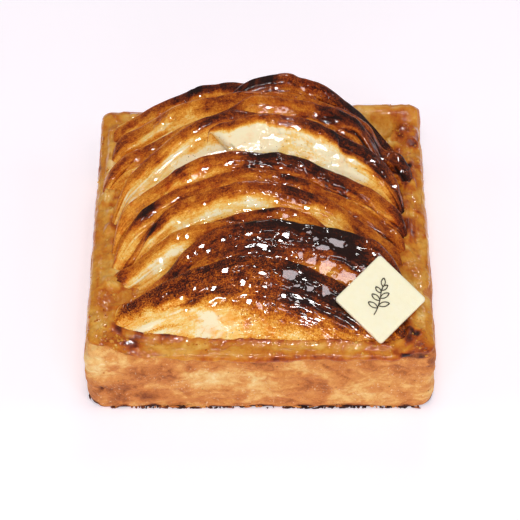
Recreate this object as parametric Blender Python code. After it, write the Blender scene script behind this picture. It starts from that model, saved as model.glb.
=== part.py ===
"""Square apple tart: puff pastry, thirteen fanned apple slices and a chocolate plaque.

Lengths are in millimetres until a mesh is made.  X runs to the right, Y from the
front edge to the back edge and Z up, from the underside of the pastry.
"""

from collections import namedtuple
from math import cos, hypot, pi, radians, sin, sqrt, tan

import bmesh
import bpy
from mathutils import Vector, noise

MM = 0.001
GAP = 0.3                   # clearance between pieces that touch

# Puff pastry
SIDE = 97.0
RIM_HEIGHT = 25.0
FLOOR_HEIGHT = 21.8         # top of the pastry under the apple
SIDE_WALL = (34.5, 43.5)    # distance from the middle where the side rims rise
BACK_WALL = (38.5, 44.0)    # the same for the back rim
BACK_SWELL = (1.0, 4.2)     # extra height of the back rim at its left and right end
CORNER_RADIUS = (5.0, 2.6)  # at the underside, at the rim
FLAKE_DEPTH = 0.9           # relief of the baked layers on the sides
FLAKE_LENGTH = 13.0
FLAKE_LAYER = 2.6
RIM_WAVE = 0.5              # unevenness of the outer edge of the rim
WAVE_EDGE = (45.5, 47.5)    # distance from the middle where it sets in
EDGE_STEPS = 22             # divisions of one straight edge of the pastry
CORNER_STEPS = 5            # divisions of one of its corners

# Apple slices
FRONT_LEAN = 37.0           # degrees from the floor, first slice
BACK_LEAN = 47.0            # last slice
END_LEAN = 26.0             # at the drooping ends of every slice
HALF_FAN = 42.0             # distance from the middle where the ends droop fully
BASE_REACH = 41.0           # distance from the middle of the left and right base lines
FOOT_THICKNESS = 8.0        # of a slice where it stands on the pastry
STATIONS = 20               # sections along one slice
END_ROUND = 2.2             # rounding of a slice's two ends
NEIGHBOUR_REACH = 7.0       # how far past its ends a slice still limits the one before
FACE_BULGE = 0.5            # swelling of a cut face
EDGE_SETBACK = 1.5          # from the top of the rounded upper edge down to the face

# Chocolate plaque
PLAQUE_SIDE = 17.7
PLAQUE_THICKNESS = 2.0
PLAQUE_BEVEL = 0.45
PLAQUE_TILT = 29.5          # degrees from the floor, facing forward
PLAQUE_CENTRE = (32.7, -34.6, 30.4)

# base: Y of the foot of the face at the left, in the middle and at the right.
# thickness: at the upper edge.  rim: (x, height up the face) along the upper edge.
Slice = namedtuple("Slice", "base thickness colour rim")
SLICES = (
    Slice((-40.0, -43.3, -45.4), 2.8, (0.50, 0.26, 0.08),
          ((-40.5, 2.5), (-37.5, 8), (-29, 13.8), (-16, 20.3), (-3, 24), (11, 21.3), (25, 15),
           (37, 8), (40.5, 3))),
    Slice((-30.5, -34.4, -36.4), 2.6, (0.24, 0.07, 0.02),
          ((-38, 2), (-33, 5), (-27, 10.7), (-20, 18.7), (-12, 24), (0, 27), (15, 26),
           (27, 23.8), (36, 18.3), (42, 5))),
    Slice((-24.4, -28.9, -28.2), 2.4, (0.72, 0.34, 0.07),
          ((-43, 1), (-40, 4.5), (-33, 12), (-25, 19), (-17, 22), (-9, 23.3), (2, 21.5),
           (14, 16), (22, 8))),
    Slice((-22.9, -24.1, -23.2), 2.2, (0.55, 0.17, 0.04),
          ((-27, 8), (-22, 16), (-12, 20.8), (4, 23.8), (14, 21.6), (21, 16), (26, 8))),
    Slice((-21.3, -19.6, -17.5), 2.5, (0.80, 0.46, 0.12),
          ((-39.5, 4), (-36, 9.5), (-31, 17), (-25, 21.7), (-14, 25.5), (-5, 27.8),
           (7, 26.6), (18, 23), (27, 17), (36, 9.5), (40, 4))),
    Slice((-19.8, -13.7, -12.4), 2.4, (0.46, 0.17, 0.05),
          ((-41.8, 3), (-39.5, 10), (-35, 17.8), (-26, 22.3), (-14, 25.5), (-5, 27.4),
           (8, 25.8), (18, 21.4), (29, 15.7), (38, 8.6), (41.5, 3))),
    Slice((-14.7, -8.7, -7.7), 2.6, (0.60, 0.29, 0.08),
          ((-42.3, 3), (-40.5, 11.5), (-37, 17.5), (-27, 23), (-23.5, 25.4), (-13, 28.2),
           (0, 28.4), (13, 26.2), (21, 21.9), (28, 19.4), (35, 15), (40, 9), (42.5, 2))),
    Slice((-8.4, -2.9, 2.4), 3.0, (0.86, 0.58, 0.24),
          ((-16.5, 22), (-14.5, 30.8), (-7, 33.8), (2, 35), (13, 33.5), (22, 29), (34, 21),
           (39, 12.5), (42, 2))),
    Slice((-2.5, 4.2, 7.7), 2.6, (0.72, 0.40, 0.12),
          ((-43, 2), (-41, 8.5), (-37.5, 17), (-28, 24.4), (-20, 29), (-7, 32), (1, 30.4),
           (13, 28.5), (20, 25), (30, 19.5), (38, 10), (41.5, 3))),
    Slice((11.3, 9.5, 11.4), 2.8, (0.48, 0.20, 0.06),
          ((-46, 2), (-42, 9.5), (-37, 15), (-24, 22.5), (-10, 28.5), (-2, 32), (6, 31.6),
           (17, 29.6), (27.5, 25.8), (31, 21), (34, 16), (38, 6))),
    Slice((22.4, 15.4, 15.1), 2.8, (0.62, 0.30, 0.09),
          ((-44.5, 2), (-41, 9.5), (-34, 17.3), (-24.5, 24), (-10, 29), (-1, 29.8),
           (11, 28.3), (22, 25.3), (31, 20), (36, 12.7), (41, 8.5), (45, 2))),
    Slice((28.7, 20.9, 26.1), 2.8, (0.38, 0.15, 0.05),
          ((-14, 14), (-8, 25), (-2, 29.8), (6, 30.5), (15, 28.5), (24, 22.8), (32, 15.3),
           (40, 3))),
    Slice((31.0, 26.5, 33.9), 3.0, (0.52, 0.28, 0.09),
          ((-45, 2), (-40, 8.5), (-34, 15), (-24, 20.5), (-14, 24), (-5, 24.7), (8, 22.5),
           (18, 16), (24, 8))),
)

PASTRY_COLOUR = (0.60, 0.32, 0.11)
PLAQUE_COLOUR = (0.93, 0.88, 0.68)


def smoothstep(start, end, value):
    """Rise from 0 to 1 as value goes from start to end."""
    t = min(max((value - start) / (end - start), 0.0), 1.0)
    return t * t * (3.0 - 2.0 * t)


def curve_height(points, x):
    """Height at x of the smooth curve through (x, height) points."""
    x = min(max(x, points[0][0]), points[-1][0])
    last = len(points) - 2
    i = max(n for n in range(last + 1) if points[n][0] <= x)

    def slope(n):
        before = points[max(n - 1, 0)]
        after = points[min(n + 1, last + 1)]
        return (after[1] - before[1]) / (after[0] - before[0])

    (x0, h0), (x1, h1) = points[i], points[i + 1]
    width = x1 - x0
    t = (x - x0) / width
    rise = t * t * (3.0 - 2.0 * t)
    bend = width * (slope(i) * t * (1.0 - t) ** 2 - slope(i + 1) * t * t * (1.0 - t))
    return h0 + (h1 - h0) * rise + bend


# ---------------------------------------------------------------- pastry surface

def side_rise(x):
    """How far the pastry's top stands above its floor near the side rims."""
    return (RIM_HEIGHT - FLOOR_HEIGHT) * smoothstep(*SIDE_WALL, abs(x))


def pastry_top(x, y):
    """Height of the pastry's top: a floor with a rim at the sides and the back."""
    back = (RIM_HEIGHT - FLOOR_HEIGHT) * smoothstep(*BACK_WALL, y)
    rim = max(side_rise(x), back)
    low_back, high_back = BACK_SWELL
    swell = low_back + (high_back - low_back) * smoothstep(-SIDE / 2.0, SIDE / 3.0, x)
    rim += swell * smoothstep(40.0, 46.0, y)
    wave = RIM_WAVE * noise.noise(Vector((x, y, 0.0)) / FLAKE_LENGTH)
    return FLOOR_HEIGHT + rim + wave * smoothstep(*WAVE_EDGE, max(abs(x), abs(y)))


def rounded_square(half, radius):
    """Points round a square with rounded corners, from the front left corner on."""
    straight = half - radius
    corner = [(-straight * cos(pi * i / EDGE_STEPS), -half) for i in range(EDGE_STEPS)]
    for i in range(CORNER_STEPS):
        angle = pi / 2.0 * i / CORNER_STEPS
        corner.append((straight + radius * sin(angle), -straight - radius * cos(angle)))
    points = []
    for quarter in range(4):
        turn = quarter * pi / 2.0
        for x, y in corner:
            points.append((x * cos(turn) - y * sin(turn), x * sin(turn) + y * cos(turn)))
    return points


def flake_relief(x, y, z):
    """How far the layered side of the pastry is set in at a point."""
    layers = noise.noise(Vector((x / FLAKE_LENGTH, y / FLAKE_LENGTH, z / FLAKE_LAYER)))
    return FLAKE_DEPTH * min(max(0.5 * layers + 0.15, 0.0), 1.0)


def pastry_ring(half, share):
    """One ring of the pastry, at a share of the height of its rim."""
    bottom_radius, rim_radius = CORNER_RADIUS
    radius = bottom_radius + (rim_radius - bottom_radius) * share
    ring = []
    for x, y in rounded_square(half, radius):
        z = pastry_top(x, y) * share
        if 0.0 < share < 1.0:
            inset = flake_relief(x, y, z) / hypot(x, y)
            x, y = x * (1.0 - inset), y * (1.0 - inset)
        ring.append(Vector((x, y, z)))
    return ring


def pastry_rings():
    """Rings from the underside, up the side, over the rim and in over the floor."""
    half = SIDE / 2.0
    rings = [pastry_ring(half - 1.2, 0.0)]
    sides = ((0.35, 0.05), (0.1, 0.14), (0.0, 0.24), (0.0, 0.34), (0.0, 0.44), (0.0, 0.54),
             (0.0, 0.64), (0.0, 0.73), (0.1, 0.82), (0.2, 0.9), (0.4, 0.95), (0.8, 0.985))
    rings += [pastry_ring(half - inset, share) for inset, share in sides]
    for inset in (1.6, 3.0, 4.6, 6.0, 8.0, 10.0, 12.5, 24.0):
        rings.append(pastry_ring(half - inset, 1.0))
    return rings


# ---------------------------------------------------------------- apple slices

def lean_at(index, x):
    """Angle of a slice's face above the floor, in radians."""
    middle = FRONT_LEAN + (BACK_LEAN - FRONT_LEAN) * index / (len(SLICES) - 1)
    droop = min(abs(x) / HALF_FAN, 1.0) ** 2.2
    return radians(middle + (END_LEAN - middle) * droop)


def crest_height(index, x):
    """Height of a slice's upper edge above the floor."""
    up_face = curve_height(SLICES[index].rim, x) - EDGE_SETBACK
    return max(up_face, 1.0) * sin(lean_at(index, x))


def face_y(index, x, z):
    """Y of a slice's front face at x, a height z above the floor."""
    left, middle, right = SLICES[index].base
    reach = (x / BASE_REACH) ** 2
    base = middle + ((left if x < 0.0 else right) - middle) * reach
    up = min(z / crest_height(index, x), 1.0)
    return base + z / tan(lean_at(index, x)) - FACE_BULGE * sin(pi * up)


def slice_behind(index, x):
    """The nearest slice behind this one that reaches x, or None."""
    for other in range(index + 1, len(SLICES)):
        rim = SLICES[other].rim
        if rim[0][0] - NEIGHBOUR_REACH <= x <= rim[-1][0] + NEIGHBOUR_REACH:
            return other
    return None


def slice_section(index, x, shrink):
    """Closed section of a slice at x.  shrink is 1, or less where an end is rounded."""
    apple = SLICES[index]
    lean = lean_at(index, x)
    crest = crest_height(index, x) * shrink
    slenderness = (0.45 + 0.55 * sqrt(crest / 20.0)) / sin(lean)
    behind = slice_behind(index, x)
    foot = FLOOR_HEIGHT + GAP + side_rise(x)

    def front(share):
        return face_y(index, x, crest * share)

    def back(share):
        thick = FOOT_THICKNESS + (apple.thickness - FOOT_THICKNESS) * share
        y = min(front(share) + thick * slenderness,
                BACK_WALL[0] - GAP + crest * share / tan(lean))
        if behind is not None:
            y = min(y, face_y(behind, x, crest * share) - GAP / sin(lean))
        return y

    def point(share, across):
        y = front(share) + (back(share) - front(share)) * across
        middle = (front(share) + back(share)) / 2.0
        y = middle + (y - middle) * (0.4 + 0.6 * shrink)
        return Vector((x, y, foot + crest * share))

    outline = ((0.0, 0.12), (0.05, 0.0), (0.35, 0.0), (0.65, 0.0), (0.88, 0.03), (0.97, 0.18),
               (1.0, 0.5), (0.97, 0.85), (0.85, 1.0), (0.45, 1.0), (0.0, 1.0))
    return [point(share, across) for share, across in outline]


def slice_rings(index):
    """Sections of a slice from its left end to its right end."""
    rim = SLICES[index].rim
    left, right = rim[0][0], rim[-1][0]
    rings = []
    for i in range(STATIONS + 1):
        share = 0.5 - 0.5 * cos(pi * (0.04 + 0.92 * i / STATIONS))
        x = left + (right - left) * share
        end = min(x - left, right - x, END_ROUND) / END_ROUND
        rings.append(slice_section(index, x, sqrt(1.0 - (1.0 - end) ** 2)))
    return rings


# ---------------------------------------------------------------- objects

def make_material(name, colour, roughness):
    """A plain Principled material."""
    material = bpy.data.materials.new(name)
    material.use_nodes = True
    shader = material.node_tree.nodes["Principled BSDF"]
    shader.inputs["Base Color"].default_value = (*colour, 1.0)
    shader.inputs["Roughness"].default_value = roughness
    shader.inputs["Metallic"].default_value = 0.0
    return material


def add_object(name, mesh_builder, material, collection):
    """Make a named object from a bmesh in millimetres."""
    bmesh.ops.scale(mesh_builder, vec=(MM, MM, MM), verts=mesh_builder.verts)
    bmesh.ops.triangulate(mesh_builder, faces=mesh_builder.faces)
    bmesh.ops.recalc_face_normals(mesh_builder, faces=mesh_builder.faces)
    mesh = bpy.data.meshes.new(name)
    mesh_builder.to_mesh(mesh)
    mesh_builder.free()
    mesh.materials.append(material)
    item = bpy.data.objects.new(name, mesh)
    collection.objects.link(item)
    return item


def loft(rings, first_centre=None, last_centre=None):
    """Skin a list of rings.  An end is closed by a fan to a centre, or by one face."""
    builder = bmesh.new()
    rows = [[builder.verts.new(point) for point in ring] for ring in rings]
    for lower, upper in zip(rows, rows[1:]):
        for i, corner in enumerate(lower):
            j = (i + 1) % len(lower)
            builder.faces.new((corner, lower[j], upper[j], upper[i]))
    for row, centre in ((rows[0], first_centre), (rows[-1], last_centre)):
        if centre is None:
            builder.faces.new(row)
            continue
        middle = builder.verts.new(centre)
        for i, corner in enumerate(row):
            builder.faces.new((corner, row[(i + 1) % len(row)], middle))
    return builder


def make_pastry(collection):
    """The square case: flat underside, layered sides, rim and floor."""
    builder = loft(pastry_rings(), Vector((0, 0, 0)), Vector((0, 0, FLOOR_HEIGHT)))
    material = make_material("baked_puff_pastry", PASTRY_COLOUR, 0.45)
    add_object("pastry", builder, material, collection)


def make_slices(collection):
    """Thirteen half-moons of apple, from the front of the tart to the back."""
    for index, apple in enumerate(SLICES):
        name = f"apple_slice_{index + 1:02d}"
        material = make_material(f"baked_apple_{index + 1:02d}", apple.colour, 0.25)
        add_object(name, loft(slice_rings(index)), material, collection)


def make_plaque(collection):
    """A small square of white chocolate, set cornerwise on the front right slices."""
    builder = bmesh.new()
    bmesh.ops.create_cube(builder, size=1.0)
    size = (PLAQUE_SIDE, PLAQUE_SIDE, PLAQUE_THICKNESS)
    bmesh.ops.scale(builder, vec=size, verts=builder.verts)
    bmesh.ops.bevel(builder, geom=builder.edges, offset=PLAQUE_BEVEL, segments=2,
                    profile=0.5, affect="EDGES")
    material = make_material("white_chocolate", PLAQUE_COLOUR, 0.4)
    plaque = add_object("chocolate_plaque", builder, material, collection)
    plaque.rotation_mode = "ZYX"
    plaque.rotation_euler = (radians(PLAQUE_TILT), 0.0, pi / 4.0)
    plaque.location = Vector(PLAQUE_CENTRE) * MM


def main():
    for item in list(bpy.data.objects):
        bpy.data.objects.remove(item, do_unlink=True)
    collection = bpy.data.collections.new("apple_tart")
    bpy.context.scene.collection.children.link(collection)
    make_pastry(collection)
    make_slices(collection)
    make_plaque(collection)


main()
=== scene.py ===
"""Looks of the square apple tart: baked apple, glazed puff pastry, a chocolate plaque.

Lengths are in millimetres until a mesh is made.  X runs to the right, Y from the front
edge to the back edge and Z up, from the underside of the pastry.
"""

from collections import namedtuple
from math import cos, pi, radians, sin

import bmesh
import bpy
import numpy as np
from mathutils import Euler, Matrix, Vector, kdtree, noise


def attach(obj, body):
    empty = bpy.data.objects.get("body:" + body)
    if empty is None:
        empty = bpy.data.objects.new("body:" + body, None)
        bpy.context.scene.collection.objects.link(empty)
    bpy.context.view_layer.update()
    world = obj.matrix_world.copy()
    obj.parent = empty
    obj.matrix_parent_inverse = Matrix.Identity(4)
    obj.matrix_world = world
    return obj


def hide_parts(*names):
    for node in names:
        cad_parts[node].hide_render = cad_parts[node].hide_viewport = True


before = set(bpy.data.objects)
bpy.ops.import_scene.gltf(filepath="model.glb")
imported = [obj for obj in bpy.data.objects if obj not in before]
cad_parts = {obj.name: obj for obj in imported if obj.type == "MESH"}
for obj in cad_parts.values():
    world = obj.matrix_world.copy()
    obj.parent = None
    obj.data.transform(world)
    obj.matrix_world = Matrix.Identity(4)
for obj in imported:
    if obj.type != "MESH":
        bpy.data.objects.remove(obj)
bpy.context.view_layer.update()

MM = 0.001
GAP = 0.3

# ------------------------------------------------------------------ sizes, as in the CAD

SIDE = 97.0
RIM_HEIGHT = 25.0
FLOOR_HEIGHT = 21.8
SIDE_WALL = (34.5, 43.5)
BACK_WALL = (38.5, 44.0)
BACK_SWELL = (1.0, 4.2)
CORNER_RADIUS = (5.0, 2.6)
FLAKE_DEPTH = 0.9
FLAKE_LENGTH = 13.0
FLAKE_LAYER = 2.6
RIM_WAVE = 0.5
WAVE_EDGE = (45.5, 47.5)

FRONT_LEAN = 37.0
BACK_LEAN = 47.0
END_LEAN = 26.0
HALF_FAN = 42.0
BASE_REACH = 41.0
FOOT_THICKNESS = 8.0
END_ROUND = 2.2
NEIGHBOUR_REACH = 7.0
FACE_BULGE = 0.5
EDGE_SETBACK = 1.5

PLAQUE_SIDE = 17.7
PLAQUE_THICKNESS = 2.0
PLAQUE_TILT = 29.5
PLAQUE_CENTRE = (32.7, -34.6, 30.4)

Slice = namedtuple("Slice", "base thickness rim")
SLICES = (
    Slice((-40.0, -43.3, -45.4), 2.8,
          ((-40.5, 2.5), (-37.5, 8), (-29, 13.8), (-16, 20.3), (-3, 24), (11, 21.3), (25, 15),
           (37, 8), (40.5, 3))),
    Slice((-30.5, -34.4, -36.4), 2.6,
          ((-38, 2), (-33, 5), (-27, 10.7), (-20, 18.7), (-12, 24), (0, 27), (15, 26),
           (27, 23.8), (36, 18.3), (42, 5))),
    Slice((-24.4, -28.9, -28.2), 2.4,
          ((-43, 1), (-40, 4.5), (-33, 12), (-25, 19), (-17, 22), (-9, 23.3), (2, 21.5),
           (14, 16), (22, 8))),
    Slice((-22.9, -24.1, -23.2), 2.2,
          ((-27, 8), (-22, 16), (-12, 20.8), (4, 23.8), (14, 21.6), (21, 16), (26, 8))),
    Slice((-21.3, -19.6, -17.5), 2.5,
          ((-39.5, 4), (-36, 9.5), (-31, 17), (-25, 21.7), (-14, 25.5), (-5, 27.8),
           (7, 26.6), (18, 23), (27, 17), (36, 9.5), (40, 4))),
    Slice((-19.8, -13.7, -12.4), 2.4,
          ((-41.8, 3), (-39.5, 10), (-35, 17.8), (-26, 22.3), (-14, 25.5), (-5, 27.4),
           (8, 25.8), (18, 21.4), (29, 15.7), (38, 8.6), (41.5, 3))),
    Slice((-14.7, -8.7, -7.7), 2.6,
          ((-42.3, 3), (-40.5, 11.5), (-37, 17.5), (-27, 23), (-23.5, 25.4), (-13, 28.2),
           (0, 28.4), (13, 26.2), (21, 21.9), (28, 19.4), (35, 15), (40, 9), (42.5, 2))),
    Slice((-8.4, -2.9, 2.4), 3.0,
          ((-16.5, 22), (-14.5, 30.8), (-7, 33.8), (2, 35), (13, 33.5), (22, 29), (34, 21),
           (39, 12.5), (42, 2))),
    Slice((-2.5, 4.2, 7.7), 2.6,
          ((-43, 2), (-41, 8.5), (-37.5, 17), (-28, 24.4), (-20, 29), (-7, 32), (1, 30.4),
           (13, 28.5), (20, 25), (30, 19.5), (38, 10), (41.5, 3))),
    Slice((11.3, 9.5, 11.4), 2.8,
          ((-46, 2), (-42, 9.5), (-37, 15), (-24, 22.5), (-10, 28.5), (-2, 32), (6, 31.6),
           (17, 29.6), (27.5, 25.8), (31, 21), (34, 16), (38, 6))),
    Slice((22.4, 15.4, 15.1), 2.8,
          ((-44.5, 2), (-41, 9.5), (-34, 17.3), (-24.5, 24), (-10, 29), (-1, 29.8),
           (11, 28.3), (22, 25.3), (31, 20), (36, 12.7), (41, 8.5), (45, 2))),
    Slice((28.7, 20.9, 26.1), 2.8,
          ((-14, 14), (-8, 25), (-2, 29.8), (6, 30.5), (15, 28.5), (24, 22.8), (32, 15.3),
           (40, 3))),
    Slice((31.0, 26.5, 33.9), 3.0,
          ((-45, 2), (-40, 8.5), (-34, 15), (-24, 20.5), (-14, 24), (-5, 24.7), (8, 22.5),
           (18, 16), (24, 8))),
)

# ------------------------------------------------------------------ baking of the slices
# Tone 0 is pale flesh, 0.5 golden brown and 1 burnt.  Each list holds (x, value) points.
# edge: tone of the upper edge.  band: how far down it reaches.  fade: width of the change.
# flesh: tone below it.  spots: (x, height up the face, half width, half height, tone added).
Baking = namedtuple("Baking", "slot edge band fade flesh spots")
BAKING = (
    Baking("apple_browned",
           ((-40, .48), (-33, .58), (-26, .70), (-20, .82), (0, .88), (24, .88), (40, .78)),
           ((-40, .2), (-33, .3), (-27, .6), (-20, 2.2), (-10, 6.0), (0, 8.5), (12, 7.5),
            (24, 5.0), (34, 2.4), (40, 1.5)),
           ((-40, 2.5), (-27, 6), (-15, 10), (0, 13), (12, 12), (24, 9), (34, 5), (40, 3)),
           ((-40, .20), (-33, .04), (-24, -.06), (-16, -.02), (-10, .12), (-4, .28), (4, .36),
            (12, .34), (22, .30), (32, .30), (40, .40)),
           ((-9, 9, 6, 4, -.04), (8, 2.2, 14, 1.7, -.13), (-19, 12, 4, 3, .06),
            (10, 12, 6, 3, .05), (-3.5, 5.5, .9, 3.5, .16), (-3, 14.5, 3.2, 2.6, -.15),
            (-9, 17, 2.4, 2, -.12), (5, 17.5, 2.4, 2, -.12), (-16, 14, 2.4, 1.8, -.10))),
    Baking("apple_charred",
           ((-38, .54), (-29, .62), (-22, .78), (-15, .88), (0, .92), (25, .90), (42, .84)),
           ((-38, .3), (-28, .6), (-20, 1.8), (-12, 3.6), (-5, 5), (8, 5), (20, 4), (42, 6)),
           ((-38, 2.4), (-20, 4), (-8, 6), (0, 7), (42, 6)),
           ((-38, .36), (-28, .38), (-18, .46), (-8, .54), (0, .58), (14, .50), (26, .52),
            (42, .70)),
           # the first spot pales the flesh under the glow light's reflection: painted reflection
           ((17, 14.8, 8, 2.4, -.16), (-24, 7, 6, 3, -.08))),
    Baking("apple_golden",
           ((-43, .60), (-34, .58), (-26, .54), (-18, .60), (-8, .66), (22, .72)),
           ((-43, .6), (-30, .7), (-20, 1.0), (-12, 3.0), (22, 4)),
           ((-43, 3), (-25, 4.5), (-10, 6), (22, 5)),
           ((-43, .30), (-37, .13), (-30, .02), (-24, .06), (-17, .32), (-8, .50), (22, .56)),
           ((-27, 8, 5, 3, -.05),)),
    Baking("apple_browned",
           ((-27, .62), (-15, .58), (-2, .58), (12, .62), (26, .70)),
           ((-27, .7), (0, .9), (26, 1)),
           ((-27, 3), (0, 3), (26, 3)),
           ((-27, .34), (-14, .42), (0, .48), (26, .54)),
           ()),
    Baking("apple_golden",
           ((-40, .60), (-33, .66), (-26, .64), (-14, .68), (0, .76), (14, .74), (26, .64),
            (40, .62)),
           ((-40, .5), (-26, .5), (-10, .7), (8, .8), (22, .7), (40, .6)),
           ((-40, 3), (-26, 3.6), (0, 4.6), (20, 4.6), (40, 3.0)),
           ((-40, .42), (-34, .26), (-27, .15), (-16, .10), (-4, .08), (8, .07), (18, .09),
            (26, .15), (33, .25), (40, .42)),
           ((-31, 16.5, 1.8, 1.8, .16), (24, 17, 4, 1.5, -.05))),
    Baking("apple_browned",
           ((-42, .42), (-36, .50), (-31, .70), (-24, .64), (-12, .64), (0, .68), (14, .72),
            (28, .60), (41, .64)),
           ((-42, .4), (-34, .5), (-24, .5), (0, .7), (20, .8), (41, .7)),
           ((-42, 2.0), (-25, 2.4), (0, 3.4), (20, 4), (41, 3)),
           ((-42, .26), (-36, .20), (-30, .28), (-22, .22), (-10, .24), (2, .28), (14, .29),
            (24, .22), (32, .22), (41, .42)),
           ((-32.5, 17.3, 2.0, 1.7, .16), (-37, 9, 4, 4, -.10), (27, 13, 5, 2, -.08))),
    Baking("apple_browned",
           ((-42, .42), (-36, .48), (-28, .62), (-22, .72), (-10, .70), (2, .78), (8, .97),
            (24, .97), (29, .76), (36, .66), (42, .76)),
           ((-42, .5), (-28, .6), (-20, .7), (0, .9), (6, 1.5), (24, 1.7), (30, 1.0),
            (42, 1.0)),
           ((-42, 2.6), (-25, 3.4), (0, 3.8), (6, 2.2), (24, 2.4), (42, 3)),
           ((-42, .28), (-34, .18), (-26, .18), (-18, .32), (-8, .48), (4, .52), (16, .52),
            (26, .45), (36, .36), (42, .60)),
           ((-9, 25.5, 6, 2, .10), (-24.2, 24.4, 2.4, 1.4, .30), (-17, 23.5, 5, 1.8, -.10))),
    Baking("apple_golden",
           ((-16, .62), (-11, .66), (-2, .64), (10, .66), (22, .70), (34, .74), (42, .80)),
           ((-16, .3), (-6, .5), (8, .7), (20, .8), (30, 1.2), (36, 2.6), (42, 5)),
           ((-16, 1.4), (0, 1.9), (12, 2.4), (20, 3.2), (34, 5), (42, 6)),
           ((-16, .10), (-10, -.02), (0, -.10), (14, -.14), (24, -.12), (30, -.02), (36, .26),
            (42, .50)),
           ((-12, 25, 3, 3, .04),)),
    Baking("apple_golden",
           ((-43, .44), (-36, .50), (-26, .54), (-16, .66), (-4, .66), (12, .68), (26, .74),
            (41, .78)),
           ((-43, .4), (-30, .5), (-18, .6), (-4, .7), (20, .9), (41, 1.2)),
           ((-43, 2.6), (-30, 3.6), (-18, 3.2), (0, 2.8), (20, 2.8), (41, 3)),
           ((-43, .22), (-37, .06), (-28, -.04), (-20, -.03), (-12, .02), (-6, .14), (0, .34),
            (14, .40), (26, .46), (41, .60)),
           ((-17, 26, 2.2, 3, .18), (-24, 12, 8, 5, -.06))),
    Baking("apple_browned",
           ((-46, .50), (-40, .46), (-26, .54), (-12, .60), (2, .64), (14, .68), (22, .76),
            (31, .84), (38, .82)),
           ((-46, .6), (-24, .6), (0, .7), (14, .8), (24, 1.2), (31, 1.5), (38, 2)),
           ((-46, 2.4), (-24, 2.8), (0, 3.4), (14, 3.4), (24, 3), (38, 3.4)),
           ((-46, .28), (-38, .20), (-26, .25), (-12, .33), (0, .39), (12, .42), (24, .46),
            (38, .56)),
           ((-44, 5, 2.2, 3, .08),)),
    Baking("apple_golden",
           ((-44, .52), (-38, .48), (-30, .48), (-18, .52), (-4, .58), (10, .64), (24, .74),
            (34, .80), (45, .84)),
           ((-44, .8), (-34, .6), (-20, .6), (0, .7), (24, .9), (45, 2)),
           ((-44, 3), (-30, 3.4), (-10, 3.6), (24, 3), (45, 4)),
           ((-44, .24), (-38, .17), (-30, .15), (-20, .24), (-10, .32), (2, .38), (16, .42),
            (30, .48), (40, .60), (45, .74)),
           ((-43, 5, 2, 3, .10), (-27, 15, 5, 3, -.06), (42, 6, 3, 4, .16))),
    Baking("apple_charred",
           ((-14, .70), (-6, .80), (4, .86), (16, .85), (28, .80), (40, .82)),
           ((-14, .3), (-4, .5), (6, .7), (16, .8), (28, .9), (40, 1.4)),
           ((-14, 2.0), (0, 2.0), (14, 2.2), (28, 2.4), (40, 3)),
           ((-14, .42), (0, .52), (14, .54), (24, .45), (34, .44), (40, .58)),
           ()),
    Baking("apple_browned",
           ((-45, .50), (-36, .50), (-28, .56), (-23, .70), (-19, .88), (-8, .92), (6, .84),
            (16, .80), (24, .82)),
           ((-45, .3), (-24, .3), (-12, .4), (6, .7), (24, 1)),
           ((-45, 1.8), (-26, 1.4), (-14, 1.2), (0, 1.8), (24, 3)),
           ((-45, .24), (-36, .28), (-26, .34), (-14, .40), (0, .44), (12, .48), (24, .56)),
           ()),
)

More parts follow.
